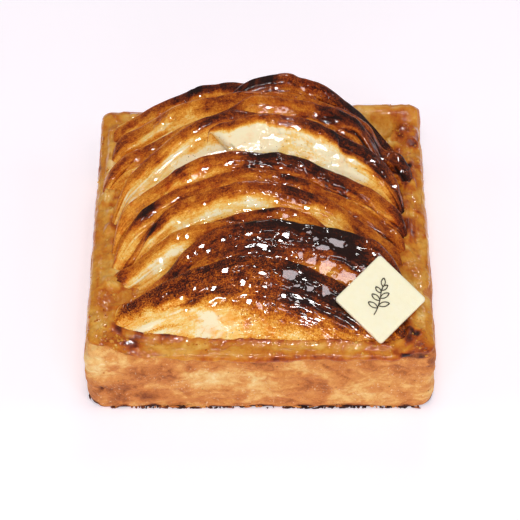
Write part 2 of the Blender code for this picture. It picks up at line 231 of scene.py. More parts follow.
# Places where the glaze lies flat and shines: (x, height up the face, radius).
# STRIP_GLINTS face the bright strip light, GLOW_GLINTS the broad dim one.
STRIP_GLINTS = {
    0: ((-10, 19.5, 1.3), (-4.8, 17, 1.5), (-13, 15.3, 1.2), (-21.6, 12.3, 1.1),
        (-2.9, 12.3, 1.1), (-18, 14.9, 1.0), (-20.7, 9, 1.0), (-13.6, 11.1, 1.0), (.4, 19.5, 1.2),
        (1, 15.9, 1.0), (6.5, 13.5, 1.0), (10.5, 19.6, 1.0)),
    1: ((-20.1, 16.7, 1.5), (-17.9, 17.4, 1.2), (-14.5, 18.7, 1.2), (-7.1, 24.2, 1.1),
        (-2.9, 23.4, 1.2), (-16.8, 19.7, 1.0), (5.4, 22.1, 1.1), (7.3, 23.2, 1.2),
        (-10.5, 21.5, 1.0), (1.0, 20.5, 1.0)),
    2: ((-20.5, 18.2, 1.3), (-23, 17.8, .9), (-28, 11, .7)),
    3: ((4.6, 22.2, 1.0), (9.7, 21.6, 1.0), (-4, 22.4, .8)),
    4: ((-15.6, 21.5, 1.0), (-22.7, 17, 1.0), (-3, 22.7, .9), (5, 22.4, .9), (13, 20.4, .9),
        (-9, 21.8, .8), (20, 17, .8)),
    5: ((-9.2, 26.4, .8), (1.3, 26.2, 1.0), (4.1, 25.3, 1.0), (8.4, 24.7, .9),
        (16.9, 21.5, .9), (-16, 24, .8)),
    6: ((-21.0, 21.6, 1.0), (-16.0, 24.2, 1.1), (5.5, 26.1, .7), (11.2, 24.6, 1.0),
        (18, 22.3, .9)),
    7: ((-8.6, 25.0, 0.8), (1.9, 31.8, 1.1), (9.4, 32.0, 1.8), (4.6, 28.7, 1.6),
        (11.0, 27.2, 1.2), (17.6, 25.4, 2.0), (22, 22.5, 1.4), (14.2, 23.6, .9),
        (21.4, 20.2, .9),
        (26.1, 21.2, .8), (32.5, 20, .8), (39.4, 10.8, .7)),
    8: ((-18.6, 26.3, 1.0), (-17.6, 24.9, .8), (-30, 15, .8), (3, 30, .7)),
    9: ((-31.4, 16.6, .9), (-35.8, 13, .7), (.1, 29.1, 1.3), (-3, 29.0, 1.0), (3.4, 28.8, .9),
        (20.8, 28, .9), (18.2, 25.2, 1.0), (19.6, 24.3, 1.1), (22, 24.6, .8), (24, 21.7, .9),
        (16.4, 26.5, .8), (-42.6, 5.4, 1.0)),
    10: ((-28.7, 18.1, 1.4), (-26.6, 20, 1.0), (35.9, 10.2, .8), (41.7, 4.9, .9),
         (-20, 22.5, .8), (31, 15, .7)),
    11: ((15.4, 24, 1.2), (19.9, 23.7, .9), (16.6, 26.9, .8), (14, 27.6, .8), (5, 26.5, .8),
         (25, 19, .7)),
    12: ((-18, 20, .7), (-30, 14.5, .7)),
}
GLOW_GLINTS = {
    0: ((8.2, 18.9, 1.9), (9.8, 16.2, 1.3), (18.2, 15.0, 1.8), (-.1, 10, 1.9),
        (13.2, 15.4, 1.3)),
    1: ((12.9, 24.4, 1.1), (20.7, 21.7, 1.7), (17.2, 20.4, 1.3), (15.6, 22.6, .9),
        (10.9, 17.7, 1.5), (14.5, 16.4, 2.0), (18.5, 14.9, 2.3), (23, 13.0, 2.3)),
    3: ((6.8, 20.9, 1.0),),
    6: ((-18.5, 22.6, 1.4),),
}
# how much longer than high those places are on a slice
GLINT_LENGTH = {1: 1.7, 5: 1.8, 6: 2.0, 7: 3.2, 9: 1.8, 11: 1.8}
# long creases on the slices: from x to x, distance below the upper edge at each, strength
CREASES = {
    1: ((-36, -16, 3.4, 5.6, .8),),
    2: ((-41, -24, 2.8, 5.0, .7), (-38, -22, 5.6, 8.0, .5)),
    4: ((12, 39, 5.4, 3.0, 1.0), (-38, -24, 3.6, 5.4, .6)),
    5: ((4, 40, 3.6, 2.2, 1.0), (-40, -30, 3.0, 4.6, .8), (16, 40, 6.0, 4.4, .7)),
    6: ((10, 41, 4.6, 2.6, 1.0), (-41, -24, 3.2, 4.8, .9), (20, 41, 7.0, 5.0, .7)),
    8: ((-42, -26, 4.6, 8.0, .6), (22, 41, 4.6, 3.0, .9), (-41, -32, 7.4, 9.6, .6)),
    9: ((-44, -8, 2.6, 3.6, 1.0), (-42, -26, 4.8, 5.6, .7), (8, 36, 3.0, 2.6, .8)),
    10: ((-43, -14, 3.4, 6.0, .8), (-42, -28, 6.2, 8.2, .6), (6, 42, 3.4, 3.0, .9)),
    11: ((0, 38, 2.8, 3.2, .9),),
    12: ((-43, -16, 2.8, 4.4, .8), (-41, -24, 5.0, 6.6, .6)),
}

# ------------------------------------------------------------------ small numeric helpers

def smooth(start, end, value):
    """Rise from 0 to 1 as value goes from start to end."""
    t = np.clip((value - start) / (end - start), 0.0, 1.0)
    return t * t * (3.0 - 2.0 * t)


def through(points, x):
    """Value at x of the smooth curve through (x, value) points."""
    px = np.array([p[0] for p in points], float)
    pv = np.array([p[1] for p in points], float)
    x = np.clip(x, px[0], px[-1])
    before = np.maximum(np.arange(len(px)) - 1, 0)
    after = np.minimum(np.arange(len(px)) + 1, len(px) - 1)
    slope = (pv[after] - pv[before]) / (px[after] - px[before])
    i = np.clip(np.searchsorted(px, x, side="right") - 1, 0, len(px) - 2)
    width = px[i + 1] - px[i]
    t = (x - px[i]) / width
    rise = t * t * (3.0 - 2.0 * t)
    bend = width * (slope[i] * t * (1 - t) ** 2 - slope[i + 1] * t * t * (1 - t))
    return pv[i] + (pv[i + 1] - pv[i]) * rise + bend


def between(points, x):
    """Value at x of the straight lines through (x, value) points."""
    return np.interp(x, [p[0] for p in points], [p[1] for p in points])


def hashed(ix, iy, iz, seed):
    """A fixed pseudo-random number from 0 to 1 for every lattice point."""
    n = (ix * 374761393 + iy * 668265263 + iz * 2147483647 + seed * 974634777).astype(np.uint64)
    n &= np.uint64(0xFFFFFFFF)
    n = ((n ^ (n >> np.uint64(13))) * np.uint64(1274126177)) & np.uint64(0xFFFFFFFF)
    n = ((n ^ (n >> np.uint64(16))) * np.uint64(2246822519)) & np.uint64(0xFFFFFFFF)
    return ((n ^ (n >> np.uint64(15))) & np.uint64(0xFFFFFF)).astype(float) / 0xFFFFFF


def draws(first, second, count, seed):
    """A row of fixed pseudo-random numbers from 0 to 1 for a pair of whole numbers."""
    row = np.arange(count)
    return hashed(np.full(count, first), np.full(count, second), row, seed).tolist()


def bumps(x, y, z, seed):
    """Smooth noise from -1 to 1, with features about one unit apart."""
    x, y, z = np.broadcast_arrays(np.asarray(x, float), y, z)
    cells = [np.floor(c).astype(np.int64) for c in (x, y, z)]
    t = [c - np.floor(c) for c in (x, y, z)]
    t = [c * c * c * (c * (c * 6 - 15) + 10) for c in t]
    total = 0.0
    for dx in (0, 1):
        for dy in (0, 1):
            for dz in (0, 1):
                weight = ((t[0] if dx else 1 - t[0]) * (t[1] if dy else 1 - t[1])
                          * (t[2] if dz else 1 - t[2]))
                total = total + weight * hashed(cells[0] + dx, cells[1] + dy,
                                                cells[2] + dz, seed)
    return 2.0 * total - 1.0


def rough(x, y, z, seed, octaves=3):
    """Noise with finer detail laid over coarser."""
    total, size, weight = 0.0, 1.0, 0.0
    for octave in range(octaves):
        f = 2.03 ** octave
        total = total + size * bumps(x * f + 7.1 * octave, y * f, z * f, seed + octave)
        weight += size
        size *= 0.5
    return total / weight


# ------------------------------------------------------------------ meshes

def finish_mesh(name, points, faces, attributes, material):
    """An object from points in millimetres, with one value a point for each attribute."""
    mesh = bpy.data.meshes.new(name)
    mesh.from_pydata((np.asarray(points) * MM).tolist(), [], [tuple(f) for f in faces])
    mesh.update()
    for key, values in attributes.items():
        values = np.asarray(values, dtype=np.float32)
        kind = "FLOAT_VECTOR" if values.ndim == 2 else "FLOAT"
        layer = mesh.attributes.new(key, kind, "POINT")
        layer.data.foreach_set("vector" if values.ndim == 2 else "value", values.ravel())
    mesh.materials.append(material)
    item = bpy.data.objects.new(name, mesh)
    bpy.context.scene.collection.objects.link(item)
    builder = bmesh.new()
    builder.from_mesh(mesh)
    bmesh.ops.recalc_face_normals(builder, faces=builder.faces)
    builder.to_mesh(mesh)
    builder.free()
    mesh.polygons.foreach_set("use_smooth", [True] * len(mesh.polygons))
    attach(item, "root")
    return item


def grid_faces(rows, columns, caps=0):
    """Quads of a grid whose rows are closed rings.  With caps 1 or -1 a face is laid over
    each end, which begins at the ring's first point and runs with the rings or against them."""
    faces = []
    for r in range(rows - 1):
        a, b = r * columns, (r + 1) * columns
        for c in range(columns):
            d = (c + 1) % columns
            faces.append((a + c, a + d, b + d, b + c))
    if caps:
        ring = np.arange(columns)
        faces.append(tuple(ring[::caps].tolist()))
        faces.append(tuple((ring[::-caps] + (rows - 1) * columns).tolist()))
    return faces


def grid_normals(grid):
    """Unit normals of a grid of points whose rows are closed rings."""
    around = np.roll(grid, -1, axis=1) - np.roll(grid, 1, axis=1)
    along = np.gradient(grid, axis=0)
    normals = np.cross(around, along)
    return normals / np.maximum(np.linalg.norm(normals, axis=2, keepdims=True), 1e-9)


def point_tree(points):
    """A search tree over an array of points."""
    tree = kdtree.KDTree(len(points))
    for i, point in enumerate(points):
        tree.insert(point, i)
    tree.balance()
    return tree


# ------------------------------------------------------------------ node materials

class Graph:
    """A node material with short calls for the nodes used here."""

    def __init__(self, name):
        self.material = bpy.data.materials.new(name)
        self.material.use_nodes = True
        self.tree = self.material.node_tree
        self.shader = self.tree.nodes["Principled BSDF"]

    def node(self, kind, **values):
        """A new node with its settings."""
        made = self.tree.nodes.new(kind)
        for key, value in values.items():
            setattr(made, key, value)
        return made

    def plug(self, socket, value):
        """Link a socket to a socket, or set it to a number or colour."""
        if isinstance(value, bpy.types.NodeSocket):
            self.tree.links.new(value, socket)
        elif isinstance(value, (tuple, list)) and len(value) == 3 and socket.type == "RGBA":
            socket.default_value = (*value, 1.0)
        else:
            socket.default_value = value

    def attribute(self, name, output="Fac"):
        made = self.node("ShaderNodeAttribute", attribute_name=name)
        return made.outputs[output]

    def place(self, scale=(1000.0, 1000.0, 1000.0)):
        """Position on the object, in millimetres times the scale given."""
        coordinate = self.node("ShaderNodeTexCoord").outputs["Object"]
        return self.stretch(coordinate, scale)

    def stretch(self, vector, scale):
        """A vector scaled along each axis."""
        made = self.node("ShaderNodeMapping")
        self.plug(made.inputs["Vector"], vector)
        made.inputs["Scale"].default_value = scale
        return made.outputs["Vector"]

    def noise(self, vector, scale, detail=3.0, roughness=0.55, distortion=0.0):
        made = self.node("ShaderNodeTexNoise")
        self.plug(made.inputs["Vector"], vector)
        made.inputs["Scale"].default_value = scale
        made.inputs["Detail"].default_value = detail
        made.inputs["Roughness"].default_value = roughness
        made.inputs["Distortion"].default_value = distortion
        return made.outputs["Fac"]

    def cells(self, vector, scale, feature="F1"):
        """Distance to the middle of the nearest cell, or to its edge."""
        made = self.node("ShaderNodeTexVoronoi", feature=feature)
        self.plug(made.inputs["Vector"], vector)
        made.inputs["Scale"].default_value = scale
        return made.outputs["Distance"]

    def math(self, operation, first, second):
        made = self.node("ShaderNodeMath", operation=operation)
        self.plug(made.inputs[0], first)
        self.plug(made.inputs[1], second)
        return made.outputs[0]

    def times(self, first, second):
        return self.math("MULTIPLY", first, second)

    def vary(self, value, pattern, amount):
        """Value with a pattern that goes round 0.5 laid over it."""
        swing = self.times(self.math("SUBTRACT", pattern, 0.5), amount)
        return self.math("ADD", value, swing)

    def span(self, value, low, high, to_low=0.0, to_high=1.0, soft=True):
        """Map low..high to to_low..to_high, held at both ends."""
        made = self.node("ShaderNodeMapRange",
                         interpolation_type="SMOOTHSTEP" if soft else "LINEAR")
        self.plug(made.inputs["Value"], value)
        for key, number in (("From Min", low), ("From Max", high), ("To Min", to_low),
                            ("To Max", to_high)):
            self.plug(made.inputs[key], number)
        return made.outputs["Result"]

    def ramp(self, value, stops):
        """A colour from (position, colour) stops."""
        made = self.node("ShaderNodeValToRGB")
        self.plug(made.inputs["Fac"], value)
        elements = made.color_ramp.elements
        while len(elements) < len(stops):
            elements.new(0.5)
        for element, (position, colour) in zip(elements, stops):
            element.position = position
            element.color = (*colour, 1.0)
        return made.outputs["Color"]

    def blend(self, share, first, second, kind="MIX"):
        """A share of the second colour over the first."""
        made = self.node("ShaderNodeMix", data_type="RGBA", blend_type=kind)
        self.plug(made.inputs[0], share)
        self.plug(made.inputs[6], first)
        self.plug(made.inputs[7], second)
        return made.outputs[2]

    def bump(self, height, distance, strength, normal=None):
        """A normal that follows a height, given in metres, laid over another normal."""
        made = self.node("ShaderNodeBump")
        self.plug(made.inputs["Height"], height)
        self.plug(made.inputs["Strength"], strength)
        made.inputs["Distance"].default_value = distance
        if normal is not None:
            self.plug(made.inputs["Normal"], normal)
        return made.outputs["Normal"]

    def surface(self, **inputs):
        """Set the shader's inputs, named with _ for a space, and give the material."""
        for key, value in inputs.items():
            self.plug(self.shader.inputs[key.replace("_", " ")], value)
        return self.material


FLESH_STOPS = (
    (0.00, (0.97, 0.84, 0.55)),
    (0.12, (0.95, 0.640, 0.200)),
    (0.26, (0.90, 0.450, 0.070)),
    (0.40, (0.75, 0.275, 0.026)),
    (0.54, (0.58, 0.168, 0.011)),
    (0.66, (0.42, 0.086, 0.006)),
    (0.78, (0.220, 0.034, 0.004)),
    (0.90, (0.078, 0.013, 0.004)),
    (1.00, (0.018, 0.006, 0.004)),
)


def apple_material(name, warm, grainy, least_coat=1.0):
    """Baked, glazed apple: the tone comes from the mesh, the grain and specks from noise."""
    g = Graph(name)
    tone = g.attribute("tone")
    grain = g.attribute("grain", "Vector")
    place = g.place()
    streaks = g.noise(g.stretch(grain, (0.16, 1.25, 1.0)), 1.0, 4.0, 0.6, 0.6)
    blotch = g.noise(place, 0.28, 3.0, 0.55, 0.4)
    specks = g.noise(place, 2.6, 2.0, 0.75)
    middle = g.times(g.span(tone, 0.02, 0.34), g.span(tone, 1.06, 0.84))
    speckled = g.math("ADD", g.times(middle, grainy), 0.16)
    shifted = g.vary(tone, specks, speckled)
    shifted = g.vary(shifted, streaks, 0.40)
    shifted = g.vary(shifted, blotch, 0.34)
    coarse = g.noise(place, 1.15, 3.0, 0.65, 0.6)
    shifted = g.vary(shifted, coarse, g.span(tone, 0.05, 0.40, 0.10, 0.50))
    net = g.cells(g.stretch(place, (0.8, 0.8, 0.8)), 0.62, "DISTANCE_TO_EDGE")
    net = g.times(g.span(net, 0.0, 0.14, 0.09, 0.0), g.span(tone, 0.45, 0.10))
    shifted = g.math("ADD", shifted, g.times(net, g.span(coarse, 0.42, 0.60)))
    fibres = g.noise(g.stretch(grain, (0.30, 2.2, 1.0)), 1.0, 4.0, 0.65, 0.3)
    shifted = g.vary(shifted, fibres, g.span(tone, 0.05, 0.35, 0.06, 0.40))
    colour = g.ramp(shifted, FLESH_STOPS)
    dots = g.cells(place, 0.85)
    dot_share = g.span(dots, 0.17, 0.09)
    few = g.span(g.noise(place, 0.33, 2.0), 0.46, 0.60)
    dot_share = g.times(g.times(dot_share, few), 0.75)
    colour = g.blend(dot_share, colour, (0.09, 0.028, 0.010))
    colour = g.blend(g.times(g.span(blotch, 0.45, 0.75), warm), colour,
                     (1.0, 0.62, 0.34), "MULTIPLY")
    dark = g.span(tone, 0.50, 0.85)
    grit = g.noise(place, 1.9, 3.0, 0.6)
    flow = g.noise(g.stretch(grain, (0.10, 0.34, 1.0)), 1.0, 1.0, 0.5, 0.4)
    ripple = g.noise(g.stretch(grain, (0.45, 0.95, 1.0)), 1.0, 1.0, 0.5, 0.3)
    normal = g.bump(fibres, 0.00012, 0.8)
    normal = g.bump(grit, 0.00010, g.span(dark, 0.0, 1.0, 0.30, 0.8, False), normal)
    moving = g.span(g.attribute("calm"), 0.0, 0.8, 1.0, 0.06)
    wet = g.bump(flow, 0.00050, g.times(moving, 0.75))
    wet = g.bump(ripple, 0.00013, g.times(moving, 0.42), wet)
    return g.surface(
        Base_Color=colour,
        Roughness=g.span(streaks, 0.3, 0.7, 0.34, 0.52),
        Normal=normal,
        Coat_Normal=wet,
        Coat_Weight=g.span(g.math("ADD", g.attribute("calm"), tone), 0.34, 0.66, least_coat, 1.0),
        Coat_Roughness=0.05,
        Coat_IOR=1.45,
        Specular_IOR_Level=0.04,
        Subsurface_Weight=0.10,
        Subsurface_Radius=(1.0, 0.45, 0.18),
        Subsurface_Scale=0.0016,
    )


def pastry_material():
    """Puff pastry: dry marbled sides, an amber glazed rim, dark bits at the bottom edge."""
    g = Graph("glazed_puff_pastry")
    place = g.place()
    glaze = g.attribute("glaze")
    tone = g.attribute("tone")
    swirl = g.noise(g.place((115.0, 115.0, 165.0)), 1.0, 2.0, 0.5, 1.0)
    marble = g.noise(g.place((360.0, 360.0, 480.0)), 1.0, 3.0, 0.6, 1.0)
    mottle = g.noise(place, 0.55, 4.0, 0.65, 0.5)
    fine = g.noise(place, 3.0, 2.0, 0.7)
    dry = g.vary(g.vary(g.vary(tone, swirl, 0.95), marble, 0.62), fine, 0.34)
    crust = g.ramp(dry, (
        (0.00, (0.95, 0.74, 0.37)),
        (0.20, (0.87, 0.53, 0.185)),
        (0.38, (0.74, 0.315, 0.082)),
        (0.56, (0.60, 0.200, 0.050)),
        (0.74, (0.37, 0.105, 0.027)),
        (0.88, (0.17, 0.045, 0.020)),
        (1.00, (0.05, 0.020, 0.016)),
    ))
    pool = g.noise(place, 0.20, 3.0, 0.5, 0.4)
    wet = g.vary(g.vary(tone, mottle, 0.52), pool, 0.70)
    amber = g.ramp(wet, (
        (0.00, (0.90, 0.66, 0.30)),
        (0.20, (0.80, 0.43, 0.085)),
        (0.40, (0.67, 0.275, 0.030)),
        (0.54, (0.59, 0.185, 0.015)),
        (0.68, (0.45, 0.090, 0.008)),
        (0.82, (0.19, 0.026, 0.006)),
        (1.00, (0.028, 0.009, 0.006)),
    ))
    flecks = g.span(g.noise(place, 1.5, 3.0, 0.65), 0.60, 0.70)
    flecks = g.times(flecks, g.span(g.noise(place, 0.14, 2.0), 0.38, 0.60))
    flecks = g.times(flecks, g.span(tone, 0.75, 0.55))
    crust = g.blend(g.times(flecks, 0.8), crust, (0.97, 0.80, 0.50))
    colour = g.blend(glaze, crust, amber)
    pits = g.span(g.cells(place, 0.55), 0.15, 0.08)
    pits = g.times(pits, g.span(g.noise(place, 0.5, 2.0), 0.54, 0.62))
    colour = g.blend(g.times(pits, 0.7), colour, (0.16, 0.05, 0.016))
    dry_normal = g.bump(marble, 0.0006, 0.9)
    dry_normal = g.bump(fine, 0.00022, 0.8, dry_normal)
    moving = g.span(g.attribute("calm"), 0.0, 0.8, 0.8, 0.05)
    wet_normal = g.bump(g.noise(place, 0.30, 2.0, 0.5), 0.0007, moving)
    bubbles = g.span(g.cells(place, 0.75), 0.42, 0.0, 0.0, 1.0)
    where = g.span(g.noise(place, 0.16, 2.0), 0.50, 0.62)
    bubbles = g.times(bubbles, where)
    wet_normal = g.bump(bubbles, 0.00016, moving, wet_normal)
    mixed = g.node("ShaderNodeMix", data_type="VECTOR")
    for socket, value in ((0, glaze), (4, dry_normal), (5, wet_normal)):
        g.plug(mixed.inputs[socket], value)
    normal = mixed.outputs[1]
    return g.surface(
        Base_Color=colour,
        Roughness=g.span(glaze, 0.0, 1.0, 0.62, 0.30),
        Normal=normal,
        Coat_Normal=normal,
        Coat_Weight=g.times(g.span(glaze, 0.1, 0.8, 0.04, 1.0),
                            g.span(mottle, 0.35, 0.60, 0.55, 1.0)),
        Coat_Roughness=0.06,
        Coat_IOR=1.45,
        Specular_IOR_Level=0.18,
        Subsurface_Weight=0.12,
        Subsurface_Radius=(1.0, 0.42, 0.14),
        Subsurface_Scale=0.0018,
    )


def chocolate_material():
    """White chocolate: cream, faintly mottled, soft gloss."""
    g = Graph("white_chocolate")
    place = g.place()
    mottle = g.noise(place, 0.5, 4.0, 0.6)
    fine = g.noise(place, 5.0, 2.0, 0.6)
    colour = g.ramp(mottle, (
        (0.25, (0.925, 0.860, 0.590)),
        (0.50, (0.940, 0.885, 0.630)),
        (0.75, (0.950, 0.900, 0.670)),
    ))
    normal = g.bump(mottle, 0.00022, 0.5)
    normal = g.bump(fine, 0.00003, 0.5, normal)
    return g.surface(
        Base_Color=colour,
        Roughness=g.span(mottle, 0.3, 0.7, 0.36, 0.46),
        Normal=normal,
        Subsurface_Weight=0.15,
        Subsurface_Radius=(1.0, 0.8, 0.5),
        Subsurface_Scale=0.0012,
        Specular_IOR_Level=0.4,
    )


def line_material():
    """Dark chocolate piped in a thin line."""
    g = Graph("dark_chocolate_line")
    place = g.place()
    mottle = g.noise(place, 2.0, 3.0, 0.6)
    colour = g.ramp(mottle, ((0.3, (0.035, 0.026, 0.014)), (0.7, (0.075, 0.055, 0.030))))
    return g.surface(Base_Color=colour, Roughness=g.span(mottle, 0.3, 0.7, 0.34, 0.5),
                     Normal=g.bump(mottle, 0.00005, 0.6))


def floor_material():
    """A plain pale table top."""
    g = Graph("pale_floor")
    place = g.place()
    mottle = g.noise(place, 0.02, 3.0, 0.5)
    colour = g.ramp(mottle, ((0.3, (0.885, 0.835, 0.885)), (0.7, (0.90, 0.85, 0.90))))
    return g.surface(Base_Color=colour, Roughness=0.8, Emission_Color=(1.0, 0.945, 1.0),
                     Emission_Strength=0.30, Specular_IOR_Level=0.2)


# ------------------------------------------------------------------ camera and main lights
# place, degrees that it looks down, and focal length in pixels of a picture as wide as the
# photo: these put the four corners of the rim where the photo has them
CAMERA_PLACE = (-0.14, -433.4, 459.9)
CAMERA_DOWN = 46.07
CAMERA_FOCAL = 2147.0
SENSOR_WIDTH = 36.0
FRAME_PIXELS = 520.0


def toward(azimuth, elevation):
    """Unit vector from the tart to a place round it.  Azimuth 0 is in front."""
    a, e = radians(azimuth), radians(elevation)
    return np.array((sin(a) * cos(e), -cos(a) * cos(e), sin(e)))


STRIP_LIGHT = toward(-4.0, 53.5)
GLOW_LIGHT = toward(26.0, 60.0)

# ------------------------------------------------------------------ apple slices

STATIONS = 260
# A slice end nearer the middle than INNER_END thins out over END_TAPER, to lie on the next.
# END_SLANT is how far a left end slants, for each millimetre down, to END_SLANT_REACH below.
INNER_END = 30.0
END_TAPER = 8.0
END_SINK = 2.6
END_SLANT = {7: 0.75, 3: 0.30}
END_SLANT_REACH = 9.0
END_INSET = 2.5
# Past the end of the slice behind, a slice's back swells by STEP_DEPTH over STEP_LENGTH.
STEP_DEPTH = 8.0
STEP_LENGTH = 14.0
FAR = 99.0
# the front face of a slice, as a share of its depth, and some points of the section on it
FRONT_SHARE = 0.3
FACE_POINTS = slice(12, 18)
# how far apart two slices' grain is read from the noise
GRAIN_APART = 37.0
# corners of a slice's section: share of its height, share of its depth, steps to the next
SHARP_CORNERS = (0, 9, 10)
SECTION = ((0.0, 0.12, 1), (0.05, 0.0, 15), (0.35, 0.0, 18), (0.65, 0.0, 16), (0.88, 0.03, 9),
           (0.97, 0.18, 5), (1.0, 0.5, 5), (0.97, 0.85, 6), (0.85, 1.0, 6), (0.45, 1.0, 3),
           (0.0, 1.0, 2))


def section_points():
    """The closed section of a slice as fine (share, across) points."""
    corners = np.array([(s, a) for s, a, _ in SECTION])
    count = len(corners)
    points = []
    for i in range(count):
        before, start, end, after = (corners[(i + k) % count] for k in (-1, 0, 1, 2))
        steps = SECTION[i][2]
        tight = 0.0 if i in SHARP_CORNERS else 0.5
        for k in range(steps):
            t = k / steps
            m0, m1 = (end - before) * tight, (after - start) * tight
            points.append((2 * t ** 3 - 3 * t ** 2 + 1) * start + (t ** 3 - 2 * t * t + t) * m0
                          + (3 * t * t - 2 * t ** 3) * end + (t ** 3 - t * t) * m1)
    return np.array(points)


def lean_at(index, x):
    """How a slice leans at x, in radians from the floor, as in the CAD."""
    middle = FRONT_LEAN + (BACK_LEAN - FRONT_LEAN) * index / (len(SLICES) - 1)
    droop = np.minimum(np.abs(x) / HALF_FAN, 1.0) ** 2.2
    return np.radians(middle + (END_LEAN - middle) * droop)


def crest_height(index, x):
    """Height of a slice's upper edge above its foot, as in the CAD."""
    up_face = through(SLICES[index].rim, x) - EDGE_SETBACK
    return np.maximum(up_face, 1.0) * np.sin(lean_at(index, x))


def face_y(index, x, z):
    """Y of a slice's front face at x and a height above its foot, as in the CAD."""
    left, middle, right = SLICES[index].base
    base = middle + (np.where(x < 0.0, left, right) - middle) * (x / BASE_REACH) ** 2
    up = np.minimum(z / crest_height(index, x), 1.0)
    return base + z / np.tan(lean_at(index, x)) - FACE_BULGE * np.sin(pi * up)


def side_rise(x):
    """How far the pastry rises under a slice near the sides, as in the CAD."""
    return (RIM_HEIGHT - FLOOR_HEIGHT) * smooth(*SIDE_WALL, np.abs(x))


def slice_grid(index, x, shrink):
    """Points of a slice: one closed ring a station."""
    section = section_points()
    share, across = section[:, 0][None, :], section[:, 1][None, :]
    x, shrink = x[:, None], shrink[:, None]
    lean = lean_at(index, x)
    crest = crest_height(index, x) * shrink
    slender = (0.45 + 0.55 * np.sqrt(crest / 20.0)) / np.sin(lean)
    foot = FLOOR_HEIGHT + GAP + side_rise(x)
    thickness = SLICES[index].thickness
    height = crest * share
    front = face_y(index, x, height)
    thick = FOOT_THICKNESS + (thickness - FOOT_THICKNESS) * share
    back = np.minimum(front + thick * slender, BACK_WALL[0] - GAP + height / np.tan(lean))
    taken = np.zeros_like(x, bool)
    for other in range(index + 1, len(SLICES)):
        rim = SLICES[other].rim
        past = np.maximum(rim[0][0] - x, x - rim[-1][0]) - NEIGHBOUR_REACH
        limit = face_y(other, x, height) - GAP / np.sin(lean)
        limit = limit + STEP_DEPTH * smooth(0.0, STEP_LENGTH, past)
        back = np.where((past < STEP_LENGTH) & ~taken, np.minimum(back, limit), back)
        taken |= past <= 0.0
    left, right = SLICES[index].rim[0][0], SLICES[index].rim[-1][0]
    from_end = np.full_like(x, FAR)
    if left > -INNER_END:
        top = crest_height(index, left + END_INSET)
        below = np.maximum(top - height, 0.0) / np.sin(lean)
        slant = END_SLANT.get(index, 0.0) * np.minimum(below, END_SLANT_REACH)
        from_end = np.minimum(from_end, x - left - slant - 0.8 * bumps(below / 2.6, 0, 0, 9))
    if right < INNER_END:
        from_end = np.minimum(from_end, right - x)
    front = back - (back - front) * (0.12 + 0.88 * smooth(0.0, END_TAPER, from_end))
    y = front + (back - front) * across
    middle = (front + back) / 2.0
    y = middle + (y - middle) * (0.4 + 0.6 * shrink)
    if -INNER_END < left and index + 1 < len(SLICES):
        y = y + END_SINK * (1.0 - smooth(-0.8, 2.2, from_end))
    z = foot + height
    grid = np.stack([np.broadcast_to(x, y.shape), y, z], axis=2)
    return grid, np.broadcast_to(share, y.shape), np.broadcast_to(across, y.shape)


def slice_tone(index, x, up, below):
    """Baking tone at x, a height up the face and a distance below the upper edge."""
    bake = BAKING[index]
    edge, flesh = between(bake.edge, x), between(bake.flesh, x)
    band, fade = between(bake.band, x), between(bake.fade, x)
    ragged = 0.9 * bumps(x / 3.1, below / 2.4, 0.5, 40 + index)
    ragged += 0.5 * bumps(x / 1.1, below / 1.0, 0.5, 60 + index)
    fade = 0.85 * fade
    reach = 1.0 - smooth(0.0, 1.0, (below + ragged * np.minimum(fade / 3, 1.5) - band) / fade)
    tone = flesh + (edge - flesh) * reach
    for sx, sh, rx, rh, amount in bake.spots:
        tone = tone + amount * np.exp(-((x - sx) / rx) ** 2 - ((up - sh) / rh) ** 2)
    return tone


def lay_flat(grid, xs, up, across, calm, glint, light, longer):
    """Turn a small patch of glaze so that it lies square between the camera and a light."""
    gx, gup, radius = glint
    spread = (np.abs(xs - gx) < 2.5 * radius * longer) & (np.abs(up - gup) < 2.5 * radius)
    spread &= across < FRONT_SHARE
    near = (xs - gx) ** 2 + (up - gup) ** 2 < radius * radius
    near &= spread
    if near.sum() < 6:
        return
    centre = grid[near].mean(axis=0)
    normal = np.linalg.svd(grid[near] - centre)[2][2]
    if normal[2] < 0:
        normal = -normal
    view = np.array(CAMERA_PLACE) - centre
    wanted = view / np.linalg.norm(view) + light
    wanted /= np.linalg.norm(wanted)
    slope = -(wanted - wanted.dot(normal) * normal) / max(wanted.dot(normal), 0.5)
    away = grid[spread] - centre
    height = away @ normal
    flat = away - np.outer(height, normal)
    distance = np.linalg.norm(flat * np.array((1.0 / longer, 1.0, 1.0)), axis=1)
    ragged = 1.0 + 0.4 * bumps(1.3 * away[:, 0] / radius, 1.3 * away[:, 2] / radius, gx, 71)
    ragged = ragged + 0.6 * bumps(away[:, 0] / 1.1, away[:, 2] / 0.8, gup, 72)
    ragged = np.maximum(ragged, 0.35)
    weight = np.exp(-(distance / (radius * ragged)) ** 6)
    shift = np.clip(weight * (flat @ slope - height + 0.05), -1.0, 0.5)
    grid[spread] += np.outer(shift, normal)
    calm[spread] = np.maximum(calm[spread], weight)


def fine_wrinkles(xs, below, across, seed):
    """Strength of the fine wrinkles along a slice's front, most towards its ends."""
    ridge = bumps(xs / 16.0, below / 2.8 + 0.5 * bumps(xs / 7.0, 0.0, 0.0, seed + 1), 0.1,
                  seed + 300)
    ridge = np.exp(-(ridge / 0.13) ** 2) * smooth(0.4, 1.4, below)
    ridge = ridge * smooth(0.10, 0.40, bumps(xs / 8.0, below / 6.0, 0.0, seed + 301) + 0.25)
    return ridge * (0.25 + 0.75 * smooth(10.0, 24.0, np.abs(xs))) * (across < FRONT_SHARE)


